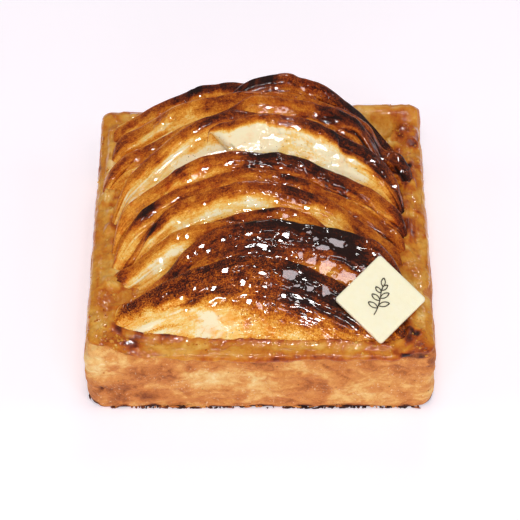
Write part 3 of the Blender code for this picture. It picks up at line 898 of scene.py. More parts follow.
def long_creases(index, xs, below, across, seed):
    """Strength of the creases in CREASES, each with a low fold beside it."""
    pleat = np.zeros_like(below)
    for number, (start, stop, first, last, strength) in enumerate(CREASES.get(index, ())):
        depth = first + (last - first) * (xs - start) / (stop - start)
        depth = depth + 0.45 * bumps(xs / 5.0, 0.0, 0.0, seed + 310 + number)
        window = smooth(start, start + 4.0, xs) * smooth(stop, stop - 4.0, xs)
        window = window * (across < FRONT_SHARE)
        apart = (below - depth) / 0.42
        pleat += strength * window * (np.exp(-apart ** 2) - 0.45 * np.exp(-(apart - 2.0) ** 2))
    return pleat


def shrivel(index, grid, share, across, up, below, tone, seed):
    """A slice's points after baking, and the tone of painted shade in its hollows and creases."""
    xs = grid[:, :, 0]
    rim = SLICES[index].rim
    normals = grid_normals(grid)
    if np.mean(normals[STATIONS // 2, FACE_POINTS, 1]) > 0:
        normals = -normals
    inner = np.clip((share - 0.06) / 0.2, 0.0, 1.0)
    ends = np.clip(np.minimum(xs - rim[0][0], rim[-1][0] - xs) / 4.0, 0.0, 1.0)
    swell = 0.42 * bumps(xs / 11.0, up / 9.0, 0.3, seed)
    folds = bumps(xs / 15.0, below / 1.9 + 0.35 * bumps(xs / 6.0, 0.0, 0.0, seed + 1), 0.7,
                  seed + 2)
    folds = (0.13 + 0.30 * smooth(12.0, 28.0, np.abs(xs))) * folds
    folds = folds * smooth(0.0, 1.0, below / 2.0)
    wrinkle = fine_wrinkles(xs, below, across, seed)
    pleat = long_creases(index, xs, below, across, seed)
    dimple = 0.045 + 0.025 * smooth(0.55, 0.85, tone)
    dimple = dimple * bumps(xs / 2.9 + 0.6 * bumps(xs / 4, up / 4, 0, seed + 4), up / 2.2,
                            across, seed + 5)
    lift = (swell * ends + folds * ends + dimple - (0.22 * wrinkle + 0.34 * pleat) * ends) * inner
    lip = np.exp(-((below - 0.9) / 1.1) ** 2) * smooth(0.5, 0.9, tone) * ends
    lift += 0.34 * lip * (1.0 + 0.7 * bumps(xs / 4.0, 0.0, 0.0, seed + 6))
    grid = grid + normals * lift[:, :, None]
    near_edge = np.exp(-below / 2.2) * ends
    grid[:, :, 2] += near_edge * (0.42 * bumps(xs / 6.5, 0.0, 0.4, seed + 7) - 0.36
                                  + 0.18 * bumps(xs / 1.9, 0.0, 0.4, seed + 8))
    grid[:, :, 1] += near_edge * 0.40 * bumps(xs / 4.4, 0.0, 0.9, seed + 9)
    # painted shade: darker in the hollows, wrinkles and creases, a little paler where the face
    # swells
    hollow_shade = np.clip(-(swell + folds) * 0.70, -0.08, 0.17) * ends
    return grid, hollow_shade + 0.20 * wrinkle + 0.22 * pleat


def contact_shade_tone(index, grid, xs, across, earlier):
    """Painted shade: tone added on a slice's front where it lies close to the slices before it."""
    left = SLICES[index].rim[0][0]
    tree = point_tree(np.concatenate([g[:, 4::2].reshape(-1, 3) for g in earlier[-3:]]))
    gap = np.array([tree.find(p)[2] for p in grid.reshape(-1, 3)]).reshape(across.shape)
    clear = smooth(1.0, 11.0, xs - left) if left > -INNER_END else 1.0
    near_next_shade = np.exp(-((gap - GAP) / 0.7).clip(0.0) ** 1.5)
    return 0.28 * near_next_shade * (across < 0.4) * clear


def make_slice(index, material, earlier):
    """One slice, wavy and wrinkled from baking, with its tone painted on its points."""
    rim = SLICES[index].rim
    left, right = rim[0][0], rim[-1][0]
    at = 0.5 - 0.5 * np.cos(pi * (0.04 + 0.92 * np.arange(STATIONS + 1) / STATIONS))
    x = left + (right - left) * at
    end = np.minimum(np.minimum(x - left, right - x), END_ROUND) / END_ROUND
    grid, share, across = slice_grid(index, x, np.sqrt(1.0 - (1.0 - end) ** 2))
    xs = grid[:, :, 0]
    face = np.maximum(through(rim, xs) - EDGE_SETBACK, 1.0)
    up = face * share
    below = face * (1.0 - share) + 0.6 * across
    seed = 100 + 10 * index
    baked = slice_tone(index, xs, up, below)
    grid, relief_shade = shrivel(index, grid, share, across, up, below, baked, seed)
    calm = np.zeros_like(baked)
    for glints, light in ((STRIP_GLINTS, STRIP_LIGHT), (GLOW_GLINTS, GLOW_LIGHT)):
        for glint in glints.get(index, ()):
            lay_flat(grid, xs, up, across, calm, glint, light, GLINT_LENGTH.get(index, 1.3))
    # painted shade: darker along the foot of the face, where it goes down to the rim, strongest on
    # the front slice
    foot = np.exp(-up / 0.9) * (0.26 + 0.14 * bumps(xs / 1.6, 0.0, 0.2, seed + 3)
                                + 0.12 * smooth(-24.0, -10.0, xs))
    foot = foot * (1.0 if index == 0 else 0.35)
    brink = 0.12 * np.exp(-(below / 0.5) ** 2) * (1.0 + 0.8 * bumps(xs / 3.0, 0, 0.6, seed + 8))
    tone = baked + relief_shade + foot + brink * smooth(0.95, 0.6, baked)
    # painted shade where the slice lies close to the slices in front of it
    if earlier:
        tone = tone + contact_shade_tone(index, grid, xs, across, earlier)
    grain = np.stack([xs, below, np.full_like(xs, GRAIN_APART * index)], axis=2)
    attributes = {"tone": tone.ravel(), "calm": calm.ravel(), "grain": grain.reshape(-1, 3)}
    item = finish_mesh(f"apple_{index + 1:02d}_baked", grid.reshape(-1, 3),
                       grid_faces(STATIONS + 1, grid.shape[1], caps=1), attributes,
                       material)
    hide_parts(f"apple_slice_{index + 1:02d}")
    if -INNER_END < left:
        lower = through(rim, left + END_INSET) - EDGE_SETBACK - up
        slant = END_SLANT.get(index, 0.0) * np.clip(lower, 0.0, END_SLANT_REACH)
        grid = np.where((xs - left - slant < 2.0)[:, :, None], -FAR, grid)
    return grid


# ------------------------------------------------------------------ pastry

EDGE_STEPS = 150
CORNER_STEPS = 14


def flake_noise(x, y, z):
    """The CAD's noise, in long flat flakes."""
    scale = (FLAKE_LENGTH, FLAKE_LENGTH, FLAKE_LAYER)
    return np.array([noise.noise(Vector([v / size for v, size in zip(place, scale)]))
                     for place in zip(x, y, z)])


def pastry_top(x, y):
    """Height of the pastry's top, as in the CAD."""
    back = (RIM_HEIGHT - FLOOR_HEIGHT) * smooth(*BACK_WALL, y)
    rim = np.maximum(side_rise(x), back)
    low_back, high_back = BACK_SWELL
    swell = low_back + (high_back - low_back) * smooth(-SIDE / 2.0, SIDE / 3.0, x)
    rim = rim + swell * smooth(40.0, 46.0, y)
    wave = RIM_WAVE * flake_noise(x, y, np.zeros_like(x))
    return FLOOR_HEIGHT + rim + wave * smooth(*WAVE_EDGE, np.maximum(np.abs(x), np.abs(y)))


def flake_relief(x, y, z):
    """How far the CAD's side is set in at a point."""
    return FLAKE_DEPTH * np.clip(0.5 * flake_noise(x, y, z) + 0.15, 0.0, 1.0)


def rounded_square(half, radius):
    """Points round a square with rounded corners, from the front left corner on."""
    straight = half - radius
    corner = [(-straight * cos(pi * i / EDGE_STEPS), -half) for i in range(EDGE_STEPS)]
    for i in range(CORNER_STEPS):
        angle = pi / 2.0 * i / CORNER_STEPS
        corner.append((straight + radius * sin(angle), -straight - radius * cos(angle)))
    corner = np.array(corner)
    turned = [corner]
    for _ in range(3):
        corner = np.stack([-corner[:, 1], corner[:, 0]], axis=1)
        turned.append(corner)
    return np.concatenate(turned)


# how far the glaze hangs over the front edge: (x, drop)
FRONT_DROP = ((-48.5, 0.1), (-43.4, 0.3), (-36, 0.6), (-30, 1.2), (-16, 1.9), (-3, 2.3),
              (10, 1.7), (24, 1.8), (38, 2.4), (45, 1.9), (48.5, 1.0))
SIDE_RINGS = ((0.35, 0.05), (0.1, 0.14), (0.0, 0.24), (0.0, 0.70), (0.12, 0.80), (0.42, 0.88),
              (0.95, 0.94), (1.8, 0.98), (3.4, 1.0))
# marks on the front side: x, z, half width, half height, tone added, lift
FRONT_MARKS = (
    (-46.0, 17.5, 3.4, 6.0, -0.26, 0.0),
    (-33.0, 6.5, 9.0, 3.2, 0.14, -0.1),
    (-44.5, 8.7, 0.8, 0.8, 0.42, -0.9),
    (-43.3, 15.4, 0.32, 0.30, 0.5, -0.2),
    (-41.7, 16.2, 0.28, 0.24, 0.4, -0.1),
    (-16.0, 13.0, 9.0, 4.0, -0.10, 0.1),
    (-2.5, 18.0, 6.0, 2.6, 0.16, 0.0),
    (20.0, 5.0, 12.0, 2.6, -0.10, 0.1),
    (3.0, 15.0, 7.0, 2.2, 0.10, 0.0),
    (38.0, 8.0, 7.0, 5.0, 0.08, 0.0),
    (43.9, 22.2, 1.9, 1.1, 0.32, 0.35),
    (40.6, 21.9, 1.6, 0.8, 0.24, 0.2),
    (46.9, 19.5, 1.2, 2.0, 0.35, 0.0),
)
# a red-brown seam under the glaze, and a slanting crease, on the front side: x and z
SEAM = ((11.0, 23.4), (17.0, 23.2), (23.0, 22.8), (30.0, 22.4), (38.0, 22.0), (46.0, 22.2))
CREASE = ((15.0, 19.8), (18.5, 17.4), (23.0, 14.0), (28.0, 10.4))
# marks on the rim: x, y, half width, half depth, tone added, lift
RIM_MARKS = (
    (-35.4, -43.9, 2.9, 1.2, 0.25, 1.7),
    (-36.5, -44.4, 5.5, 2.2, 0.10, 0.3),
    (-42.0, -46.8, 0.9, 0.8, 0.00, 0.45),
    (-30.5, -47.1, 1.0, 0.8, 0.00, 0.50),
    (-20.5, -47.2, 0.9, 0.7, 0.00, 0.40),
    (-2.0, -47.3, 0.9, 0.7, 0.00, 0.40),
    (42.3, -42.1, 2.3, 2.2, 0.18, 0.9),
    (42.3, -42.1, 1.2, 1.1, 0.34, -1.2),
    (40.6, -41.0, 1.0, 1.0, 0.20, 0.5),
    (38.5, -43.5, 2.4, 1.4, -0.14, 0.2),
    (45.0, 4.3, 1.3, 1.2, 0.16, 0.5),
    (45.0, 4.3, 0.6, 0.5, 0.22, -0.4),
    (46.8, -4.6, 0.9, 0.9, 0.34, 0.2),
    (43.3, 23.0, 0.75, 0.75, 1.00, -0.3),
    (43.0, 20.5, 2.6, 3.0, 0.10, 0.2),
    (43.2, 38.4, 3.9, 3.5, 0.34, 1.6),
    (45.0, 33.2, 2.2, 1.9, 0.30, 1.2),
    (47.2, 36.0, 0.9, 2.4, 0.30, -0.6),
    (38.0, 34.6, 2.4, 3.2, -0.34, 0.3),
    (34.6, 39.6, 3.0, 2.2, -0.30, 0.3),
    (40.8, 30.6, 1.6, 1.8, 0.22, -0.3),
    (41.0, 43.6, 3.4, 1.2, 0.10, 0.5),
    (46.2, 43.5, 2.0, 2.4, -0.16, 0.2),
    (30.0, 43.5, 4.0, 2.0, -0.16, 0.2),
    (-42.9, 4.0, 1.5, 1.8, -0.10, 0.7),
    (-44.6, 11.0, 1.5, 2.4, -0.10, 0.6),
    (-42.8, 7.4, 1.0, 1.0, 0.34, -0.3),
    (-43.2, -3.0, 1.2, 1.6, -0.06, 0.6),
    (-44.5, -38.5, 3.0, 3.6, -0.12, 0.2),
    (-46.0, 9.0, 1.8, 6.0, -0.10, 0.1),
    (-45.2, -22.0, 1.6, 8.0, 0.10, 0.0),
    (46.0, -26.0, 1.6, 7.0, -0.12, 0.1),
    (-40.0, 44.5, 5.0, 2.6, 0.06, 0.3),
    (-43.0, 30.0, 2.0, 4.0, -0.08, 0.2),
)
# places on the rim where the glaze lies flat and shines: x, y, radius
RIM_GLINTS = ((-44.4, 7.6, 1.7), (-42.6, 1.4, 1.4), (-43.4, -4.2, 1.4), (-43.0, -10.5, 1.2),
              (-38.2, 43.6, 1.2), (42.3, 20.0, 1.4), (42.4, 39.0, 1.5),
              (44.6, 33.6, 1.5), (38.6, 36.8, 1.4), (36.0, 38.4, 1.2), (44.4, 4.6, 1.2),
              (43.8, -9.0, 1.2), (-35.6, -44.4, 1.5), (43.6, -30.0, 1.0), (45.6, 24.0, 1.0))
# places on the rim with their half widths: where it blistered, and where it is crinkled
BLISTERED = (44.0, 37.0, 5.0, 6.0)
CRINKLED_RIGHT = (37.0, 35.5, 5.0, 5.5)
CRINKLED_LEFT = (-39.0, 44.0, 5.0, 3.0)
# single beads of glaze on the front edge: x, height, radius
FRONT_BEADS = ((-40.6, 24.5, 0.55), (-38.6, 24.0, 0.40), (-36.2, 23.8, 0.30),
               (-29.6, 23.6, 0.60), (-28.6, 22.8, 0.42), (-20.0, 22.3, 0.45),
               (-18.4, 22.6, 0.32), (-6.0, 22.2, 0.36), (5.5, 22.6, 0.34), (31.0, 22.4, 0.40),
               (35.6, 22.6, 0.34), (45.0, 22.2, 0.42))


def mark(u, v, marks):
    """Tone and lift added by the marks at (u, v)."""
    tone, lift = np.zeros_like(u), np.zeros_like(u)
    for mu, mv, ru, rv, amount, height in marks:
        shape = np.exp(-(((u - mu) / ru) ** 2 + ((v - mv) / rv) ** 2) ** 1.4)
        tone, lift = tone + amount * shape, lift + height * shape
    return tone, lift


def case_rings():
    """Each ring of the case from the foot up: inset, share of the height, 1 on top."""
    known = ((1.2, 0.0),) + SIDE_RINGS
    shares = np.concatenate([np.linspace(0.0, 0.05, 5), np.linspace(0.065, 0.95, 60),
                             np.linspace(0.957, 1.0, 8)])
    insets = np.interp(shares, [s for _, s in known], [i for i, _ in known])
    on_top = np.concatenate([np.linspace(3.7, 14.0, 34), (16, 19, 23, 28, 34, 41)])
    return ([(inset, share, 0.0) for inset, share in zip(insets, shares)]
            + [(inset, 1.0, 1.0) for inset in on_top])


def dry_layers(x, y, z):
    """How far the baked layers of the dry sides stand out."""
    z = z + 2.5 * bumps(x / 11.0, y / 11.0, z / 8.0, 13)
    layers = rough(x / 10.0, y / 10.0, z / 2.4, 11, 3)
    sheets = np.abs(bumps(x / 13.0, y / 13.0, z / 3.2, 12))
    return 0.42 * layers - 0.22 * smooth(0.12, 0.0, sheets) - 0.22


def seam_and_crease(x, z):
    """Strength of the seam under the glaze and of the slanting crease, on the front side."""
    seam = np.exp(-((z - between(SEAM, x)) / 0.70) ** 2) * smooth(6.0, 14.0, x)
    seam *= 0.7 + 0.3 * bumps(x / 2.2, 0.0, 0.0, 21) - 0.3 * smooth(36.0, 41.0, x)
    crease = np.exp(-((z - between(CREASE, x)) / 0.5) ** 2)
    return seam, crease * smooth(15.0, 17.0, x) * smooth(28.0, 25.0, x)


def closeness(x, y, place):
    """1 at a place on the rim, given with its half widths, falling to 0 round it."""
    at_x, at_y, wide, deep = place
    return np.exp(-((x - at_x) / wide) ** 2 - ((y - at_y) / deep) ** 2)


def rim_pattern(x, y, inset, front):
    """Veins, pale patches and crinkled places of the glaze on top."""
    beside = np.abs(np.abs(x) - np.abs(y))
    along = np.where(np.abs(x) > np.abs(y), y, x)
    vein = bumps(inset / 1.9 + 0.8 * bumps(along / 7.0, 0.0, 0.0, 41), along / 10.0, 0.0, 42)
    vein = np.exp(-(vein / 0.12) ** 2) * smooth(0.0, 5.0, beside)
    vein = vein * smooth(-0.2, 0.3, bumps(x / 8.0, y / 8.0, 0.0, 43))
    pale = smooth(0.15, 0.60, bumps(x / 4.0, y / 4.0, 0.0, 44)) * (1.0 - front)
    pale = pale * (1.0 - closeness(x, y, BLISTERED))
    crinkle = closeness(x, y, CRINKLED_RIGHT) + 0.7 * closeness(x, y, CRINKLED_LEFT)
    return vein, pale, crinkle * rough(x / 1.9, y / 1.9, 0.0, 45, 2)


def make_pastry(material, feet):
    """The case with its baked layers, glazed rim and the glaze drawn up round the apple."""
    half = SIDE / 2.0
    rings = case_rings()
    bottom, top = CORNER_RADIUS
    points, tones, glazes, under = [], [], [], []
    for inset, share, on_top in rings:
        radius = min(bottom + (top - bottom) * share, half - inset - 0.5)
        ring = rounded_square(half - inset, radius)
        x, y = ring[:, 0], ring[:, 1]
        z = pastry_top(x, y) * share
        out = np.stack([x, y], axis=1) / np.hypot(x, y)[:, None]
        below = pastry_top(x, y) - z
        front = smooth(-44.0, -47.0, y)
        wander = 1.6 + 1.5 * bumps(x / 9.0, y / 9.0, 0.0, 5) + 0.5 * bumps(x / 3, y / 3, 0, 6)
        hang = between(FRONT_DROP, x) + 0.35 * bumps(x / 2.6, 0.0, 0.0, 7)
        drop = wander * (1 - front) + front * hang
        glaze = np.where(on_top > 0.5, 1.0, smooth(0.35, -0.25, below - drop))
        dry = 1.0 - glaze
        middle = smooth(0.0, 0.08, share) * (1.0 - on_top)
        crumbly = rough(x / 1.7, y / 1.7, z / 1.1, 14, 2)
        pushed = dry * middle * (dry_layers(x, y, z) + 0.14 * crumbly)
        bead = 0.30 * glaze * smooth(2.2, 0.2, below - drop) * (1.0 - on_top)
        low = smooth(0.10, 0.0, share)
        pushed = pushed + bead + low * 0.6 * (rough(x / 2.2, y / 2.2, z, 15, 2) - 0.3) - 0.05
        on_front = front * (1.0 - on_top)
        front_tone, front_lift = mark(x, z, FRONT_MARKS)
        seam, crease = seam_and_crease(x, z)
        # the slanting crease is darkened as well as sunk: painted shade
        front_tone = front_tone + 0.48 * seam + 0.20 * crease
        pushed = pushed + on_front * (front_lift - 0.25 * seam - 0.30 * crease)
        pushed = pushed - flake_relief(x, y, z) * (0.0 < share < 1.0) * dry
        notch = np.maximum(bumps(x / 3.3, y / 3.3, 0.0, 24), 0.0) + 0.5 * np.maximum(
            bumps(x / 1.5, y / 1.5, 0.0, 25), 0.0)
        at_edge = smooth(0.80, 1.0, share) * smooth(5.0, 1.5, inset)
        pushed = pushed - 0.55 * notch * at_edge * smooth(0.4, 0.0, inset - 1.6)
        x = np.clip(x + out[:, 0] * pushed, -half, half)
        y = np.clip(y + out[:, 1] * pushed, -half, half)
        vein, pale, crinkle = rim_pattern(x, y, inset, front)
        wet_tone = 0.45 + 0.10 * bumps(x / 9.0, y / 9.0, 0.0, 19)
        wet_tone = wet_tone + (0.15 * vein - 0.20 * pale - 0.30 * crinkle) * on_top
        near_top = on_top > 0.5 or share > 0.97
        if near_top:
            rim_tone, rim_lift = mark(x, y, RIM_MARKS)
            lumps = 0.20 * bumps(x / 5.0, y / 5.0, 0.0, 16) + 0.16 * rough(x / 2.1, y / 2.1, 0, 17)
            z = z + (lumps - 0.10 - 0.14 * vein + 0.9 * crinkle) * on_top - 0.5 * notch * at_edge
            z = z + rim_lift
            reach = np.array([feet.find(Vector((a, b, c)))[2] for a, b, c in zip(x, y, z)])
            z = z + on_top * 1.4 * np.exp(-(reach / 1.4) ** 2)
            # painted shade: the glaze is darker in the crease where the rim meets the slices, most
            # towards the front
            crease_shade = 0.10 + 0.20 * bumps(x / 2.0, y / 2.0, 0.0, 23) + 0.20 * smooth(-30.0, -37.0, y)
            wet_tone = wet_tone + rim_tone + crease_shade * np.exp(-(reach / 1.2) ** 2)
        brim = 0.10 + 0.12 * smooth(-6.0, 8.0, x)
        wet_tone = wet_tone + front * brim * np.exp(-((below - drop + 0.7) / 0.8) ** 2)
        wet_tone = wet_tone + on_front * front_tone * smooth(0.0, 0.3, np.abs(front_tone))
        dry_tone = (0.44 + 0.10 * bumps(x / 16.0, y / 16.0, z / 9.0, 18)
                    + 0.55 * smooth(1.9, 0.2, z + 1.2 * bumps(x / 2.7, y / 2.7, 0.0, 22))
                    + 0.10 * smooth(0.8, 0.0, below - drop) + on_front * front_tone)
        tones.append(np.where(glaze > 0.5, wet_tone, dry_tone))
        glazes.append(glaze)
        under.append(np.full(len(x), 0.0 if near_top else 1.0))
        points.append(np.stack([x, y, z], axis=1))
    grid = np.array(points)
    wet = np.array(glazes)
    calm = np.zeros(wet.shape)
    for glint in RIM_GLINTS:
        lay_flat(grid, grid[:, :, 0].copy(), grid[:, :, 1].copy(), np.array(under), calm, glint,
                 STRIP_LIGHT, 1.3)
    count = grid.shape[1]
    faces = grid_faces(len(rings), count)
    middles = ((0, (0.0, 0.0, 0.0)), (len(rings) - 1, (0.0, 0.0, FLOOR_HEIGHT)))
    for number, (row, _) in enumerate(middles):
        tip = len(rings) * count + number
        for c in range(count):
            a, b = row * count + c, row * count + (c + 1) % count
            faces.append((a, b, tip) if row else (b, a, tip))
    flat = np.concatenate([grid.reshape(-1, 3), [place for _, place in middles]])
    attributes = {"tone": np.append(tones, (0.6, 0.6)), "glaze": np.append(wet, (0.0, 1.0)),
                  "calm": np.append(calm, (0.0, 0.0))}
    item = finish_mesh("pastry_case", flat, faces, attributes, material)
    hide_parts("pastry")
    return grid, wet


def lump(centre, size, turn, seed, rows=5, columns=8):
    """Points and faces of one small irregular lump."""
    points = []
    for r in range(rows + 1):
        polar = pi * (0.04 + 0.92 * r / rows)
        for c in range(columns):
            around = 2.0 * pi * c / columns
            points.append((sin(polar) * cos(around), sin(polar) * sin(around), cos(polar)))
    points = np.array(points)
    swell = 1.0 + 0.38 * bumps(points[:, 0] * 1.3, points[:, 1] * 1.3, points[:, 2] * 1.3, seed)
    points = points * swell[:, None] * np.array(size)
    rotation = np.array(Matrix.Rotation(turn, 3, "Z"))
    points = points @ rotation.T + np.array(centre)
    return points, grid_faces(rows + 1, columns, caps=-1)


def gather(lumps):
    """One list of points and one of faces from many lumps."""
    points, faces, start = [], [], 0
    for some, theirs in lumps:
        points.append(some)
        faces.extend(tuple(start + i for i in face) for face in theirs)
        start += len(some)
    return np.concatenate(points), faces


BITS_A_SIDE = 150
BITS_REACH = 44.5
# Bubbles are tried on BUBBLE_ROWS, the first ring and how many, between two distances out.
BUBBLE_TRIES = 2600
BUBBLE_ROWS = (12, 84)
BUBBLE_LOWEST = 19.0
BUBBLE_ZONE = (40.0, 48.1)
SMALL_BEADS = 90
BEADS_REACH = 45.0
# how thick the burnt bits lie along the bottom edge: (place along the side, share)
FRONT_BITS = ((-48, .0), (-40, .2), (-36, .5), (-27, .9), (-20, 1.0), (-13, .9), (-8, .3),
              (4, .3), (10, .9), (22, .9), (30, .6), (42, .7), (48, .1))
OTHER_BITS = ((-48, .1), (-35, .7), (-20, .35), (-5, .8), (12, .4), (28, .9), (40, .5), (48, .1))


def make_bits(material):
    """Burnt and golden crumbs baked on along the bottom edges."""
    lumps, tones = [], []
    half = SIDE / 2.0
    for side in range(4):
        turn = side * pi / 2.0
        spin = np.array(((cos(turn), -sin(turn), 0), (sin(turn), cos(turn), 0), (0, 0, 1)))
        for i in range(BITS_A_SIDE):
            dice = draws(i, side, 7, 90)
            along = -BITS_REACH + 2.0 * BITS_REACH * (i + dice[0]) / BITS_A_SIDE
            if dice[1] > between(FRONT_BITS if side == 0 else OTHER_BITS, along):
                continue
            long = 0.25 + 1.5 * dice[2] ** 3
            size = (long, 0.22 + 0.34 * dice[3], 0.16 + 0.34 * dice[4] ** 2)
            height = size[2] * 1.25 + 0.6 * dice[5] ** 2
            centre = np.array((along, -(half - 0.30 - size[1] * 1.3), height))
            made, faces = lump((0, 0, 0), size, 0.5 * (dice[6] - 0.5), 200 + i + 7 * side)
            made = (made + centre) @ spin.T
            made[:, :2] = np.clip(made[:, :2], -half, half)
            made[:, 2] = np.maximum(made[:, 2], 0.02)
            lumps.append((made, faces))
            dark = dice[5] < 0.72
            tones.append(np.full(len(made), 0.86 + 0.16 * dice[6] if dark else 0.5))
    points, faces = gather(lumps)
    finish_mesh("baked_on_bits", points, faces,
                {"tone": np.concatenate(tones), "glaze": np.zeros(len(points))},
                material)


def make_bubbles(grid, wet, material):
    """Small set bubbles in the glaze of the rim."""
    lumps, tones = [], []
    half = SIDE / 2.0
    first_row, row_count = BUBBLE_ROWS
    inner, outer = BUBBLE_ZONE
    for i in range(BUBBLE_TRIES):
        dice = draws(i, 3, 5, 91)
        row = int(first_row + dice[0] * row_count)
        column = int(dice[1] * grid.shape[1])
        x, y, z = grid[row, column]
        if wet[row, column] < 0.9 or z < BUBBLE_LOWEST:
            continue
        if not inner <= max(abs(x), abs(y)) <= outer:
            continue
        if bumps(x / 5.5, y / 5.5, 0.0, 27) + 0.35 * dice[2] < 0.30:
            continue
        size = 0.14 + 0.34 * dice[3] ** 2
        made, faces = lump((x, y, z + 0.1 * size), (size, size, 0.75 * size), 6.0 * dice[2],
                           500 + i)
        made[:, :2] = np.clip(made[:, :2], -half, half)
        lumps.append((made, faces))
        tones.append(np.full(len(made), 0.24 + 0.42 * dice[4]))
    front = grid.reshape(-1, 3)
    front = front[(front[:, 1] < 5.0 - half) & (front[:, 2] > 18.0)]
    beads = list(FRONT_BEADS)
    for i in range(SMALL_BEADS):
        dice = draws(i, 5, 3, 92)
        x = -BEADS_REACH + 2.0 * BEADS_REACH * dice[0]
        z = RIM_HEIGHT - between(FRONT_DROP, x) + 0.2 + 1.1 * dice[2] ** 2
        beads.append((x, z, 0.12 + 0.20 * dice[1] ** 2))
    for i, (x, z, size) in enumerate(beads):
        spot = front[np.argmin((front[:, 0] - x) ** 2 + (front[:, 2] - z) ** 2)]
        lumps.append(lump(spot + (0.0, 0.25 * size, 0.0), (1.2 * size, size, 0.8 * size),
                          0.0, 700 + i, 6, 10))
        tones.append(np.full(len(lumps[-1][0]), 0.40 + 0.02 * (i % 9)))
    points, faces = gather(lumps)
    points[:, 1] = np.maximum(points[:, 1], -half)
    finish_mesh("glaze_bubbles", points, faces,
                {"tone": np.concatenate(tones), "glaze": np.ones(len(points))},
                material)


# ------------------------------------------------------------------ plaque

def on_plaque(points, turn):
    """Points of the plaque's own frame, turned on it and put in place."""
    tilted = Matrix.Rotation(radians(PLAQUE_TILT), 4, "X") @ Matrix.Rotation(turn, 4, "Z")
    place = Matrix.Translation(Vector(PLAQUE_CENTRE)) @ tilted
    return [place @ Vector(p) for p in points]


# radius of the plaque's corners seen from above, rounding of its edges, and steps round it
PLAQUE_CORNER = 0.9
PLAQUE_BEVEL = 0.42
PLAQUE_EDGE_STEPS = 24
PLAQUE_CORNER_STEPS = 8


def make_plaque(material):
    """A cast square with softly rounded edges, very slightly warped."""
    half, thick = PLAQUE_SIDE / 2.0, PLAQUE_THICKNESS / 2.0
    bevel = PLAQUE_BEVEL
    profile = [(half - inset, z) for inset, z in (
        (6.5, -thick), (2.5, -thick), (bevel, -thick), (bevel * 0.3, -thick + bevel * 0.3),
        (0.0, -thick + bevel), (0.0, 0.0), (0.0, thick - bevel),
        (bevel * 0.12, thick - bevel * 0.55), (bevel * 0.45, thick - bevel * 0.15),
        (bevel, thick), (1.0, thick), (2.5, thick), (4.5, thick), (6.5, thick))]
    rings = []
    for reach, z in profile:
        r = max(PLAQUE_CORNER - (half - reach), 0.15)
        straight = reach - r
        ring = []
        for quarter in range(4):
            turn = quarter * pi / 2
            for i in range(PLAQUE_EDGE_STEPS):
                a, b = -straight + 2 * straight * i / PLAQUE_EDGE_STEPS, -reach
                ring.append((a, b, turn))
            for i in range(PLAQUE_CORNER_STEPS):
                angle = pi / 2 * i / PLAQUE_CORNER_STEPS
                ring.append((straight + r * sin(angle), -straight - r * cos(angle), turn))
        rings.append([(a * cos(t) - b * sin(t), a * sin(t) + b * cos(t), z)
                      for a, b, t in ring])
    grid = np.array(rings)
    warp = 0.07 * bumps(grid[:, :, 0] / 7.0, grid[:, :, 1] / 7.0, 0.0, 31)
    grid[:, :, 2] += warp - 0.07
    faces = grid_faces(len(rings), grid.shape[1], caps=1)
    item = finish_mesh("plaque_cast", on_plaque(grid.reshape(-1, 3), pi / 4), faces, {},
                       material)
    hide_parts("chocolate_plaque")


LINE_SIDES = 8
SPRIG_STEM = ((-1.9, -4.6), (-1.1, -3.2), (-0.5, -1.6), (-0.1, 0.0), (0.2, 1.7), (0.7, 3.4))
# leaves of the sprig: (where on the stem, angle, length, width)
SPRIG_LEAVES = ((0.30, 148, 3.0, 0.62), (0.38, 12, 3.1, 0.64), (0.56, 140, 2.8, 0.60),
                (0.64, 30, 2.8, 0.60), (0.82, 132, 2.2, 0.50), (0.88, 42, 2.2, 0.50),
                (1.00, 84, 2.4, 0.55))


def piped(path, closed=False):
    """A thin piped line that follows points on the plaque, thicker where it was slow."""
    path = np.array(path)
    ahead = np.roll(path, -1, axis=0) if closed else np.gradient(path, axis=0) + path
    along = ahead - path
    along /= np.maximum(np.linalg.norm(along, axis=1, keepdims=True), 1e-6)
    side = np.stack([-along[:, 1], along[:, 0]], axis=1)
    steps = len(path)
    width = 0.15 + 0.03 * bumps(np.arange(steps) / 5.0, 0.0, 0.0, 77)
    if not closed:
        width = width * np.sqrt(np.clip(np.minimum(np.arange(steps), steps - 1
                                                   - np.arange(steps)) / 2.0, 0.12, 1.0))
    rings = []
    for c in range(LINE_SIDES):
        angle = 2.0 * pi * c / LINE_SIDES
        flat = path + side * (width * cos(angle))[:, None]
        rings.append(np.column_stack([flat, PLAQUE_THICKNESS / 2.0 + 0.03
                                      + 0.8 * width * sin(angle)]))
    points = np.stack(rings, axis=1).reshape(-1, 3)
    faces = grid_faces(steps, LINE_SIDES, caps=0 if closed else -1)
    if closed:
        last = (steps - 1) * LINE_SIDES
        for c in range(LINE_SIDES):
            d = (c + 1) % LINE_SIDES
            faces.append((last + c, last + d, d, c))
    return points, faces


def make_sprig(material):
    """A plain sprig of leaves piped on the plaque."""
    stem = np.array(SPRIG_STEM)
    t = np.linspace(0.0, 1.0, 40)
    knots = np.linspace(0.0, 1.0, len(stem))
    stem = np.stack([through(list(zip(knots, stem[:, 0])), t),
                     through(list(zip(knots, stem[:, 1])), t)], axis=1)
    lines = [piped(stem)]
    for where, angle, length, width in SPRIG_LEAVES:
        start = stem[min(int(where * 39), 39)]
        u = np.linspace(0.0, 1.0, 15)
        bow = width * np.sin(pi * u) ** 0.8
        one = np.stack([length * u, bow], axis=1)
        other = np.stack([length * u[::-1], -bow[::-1]], axis=1)[1:-1]
        outline = np.concatenate([one, other])
        a = radians(angle)
        turned = outline @ np.array(((cos(a), sin(a)), (-sin(a), cos(a))))
        lines.append(piped(turned + start, closed=True))
    points, faces = gather(lines)
    finish_mesh("plaque_sprig", on_plaque(points, 0.0), faces, {}, material)


# ------------------------------------------------------------------ camera, light and floor

# half the side of the floor, and the point that the lights look at, both in metres
FLOOR_HALF = 3.0
LIT_POINT = Vector((0.0, 0.0, 0.028))


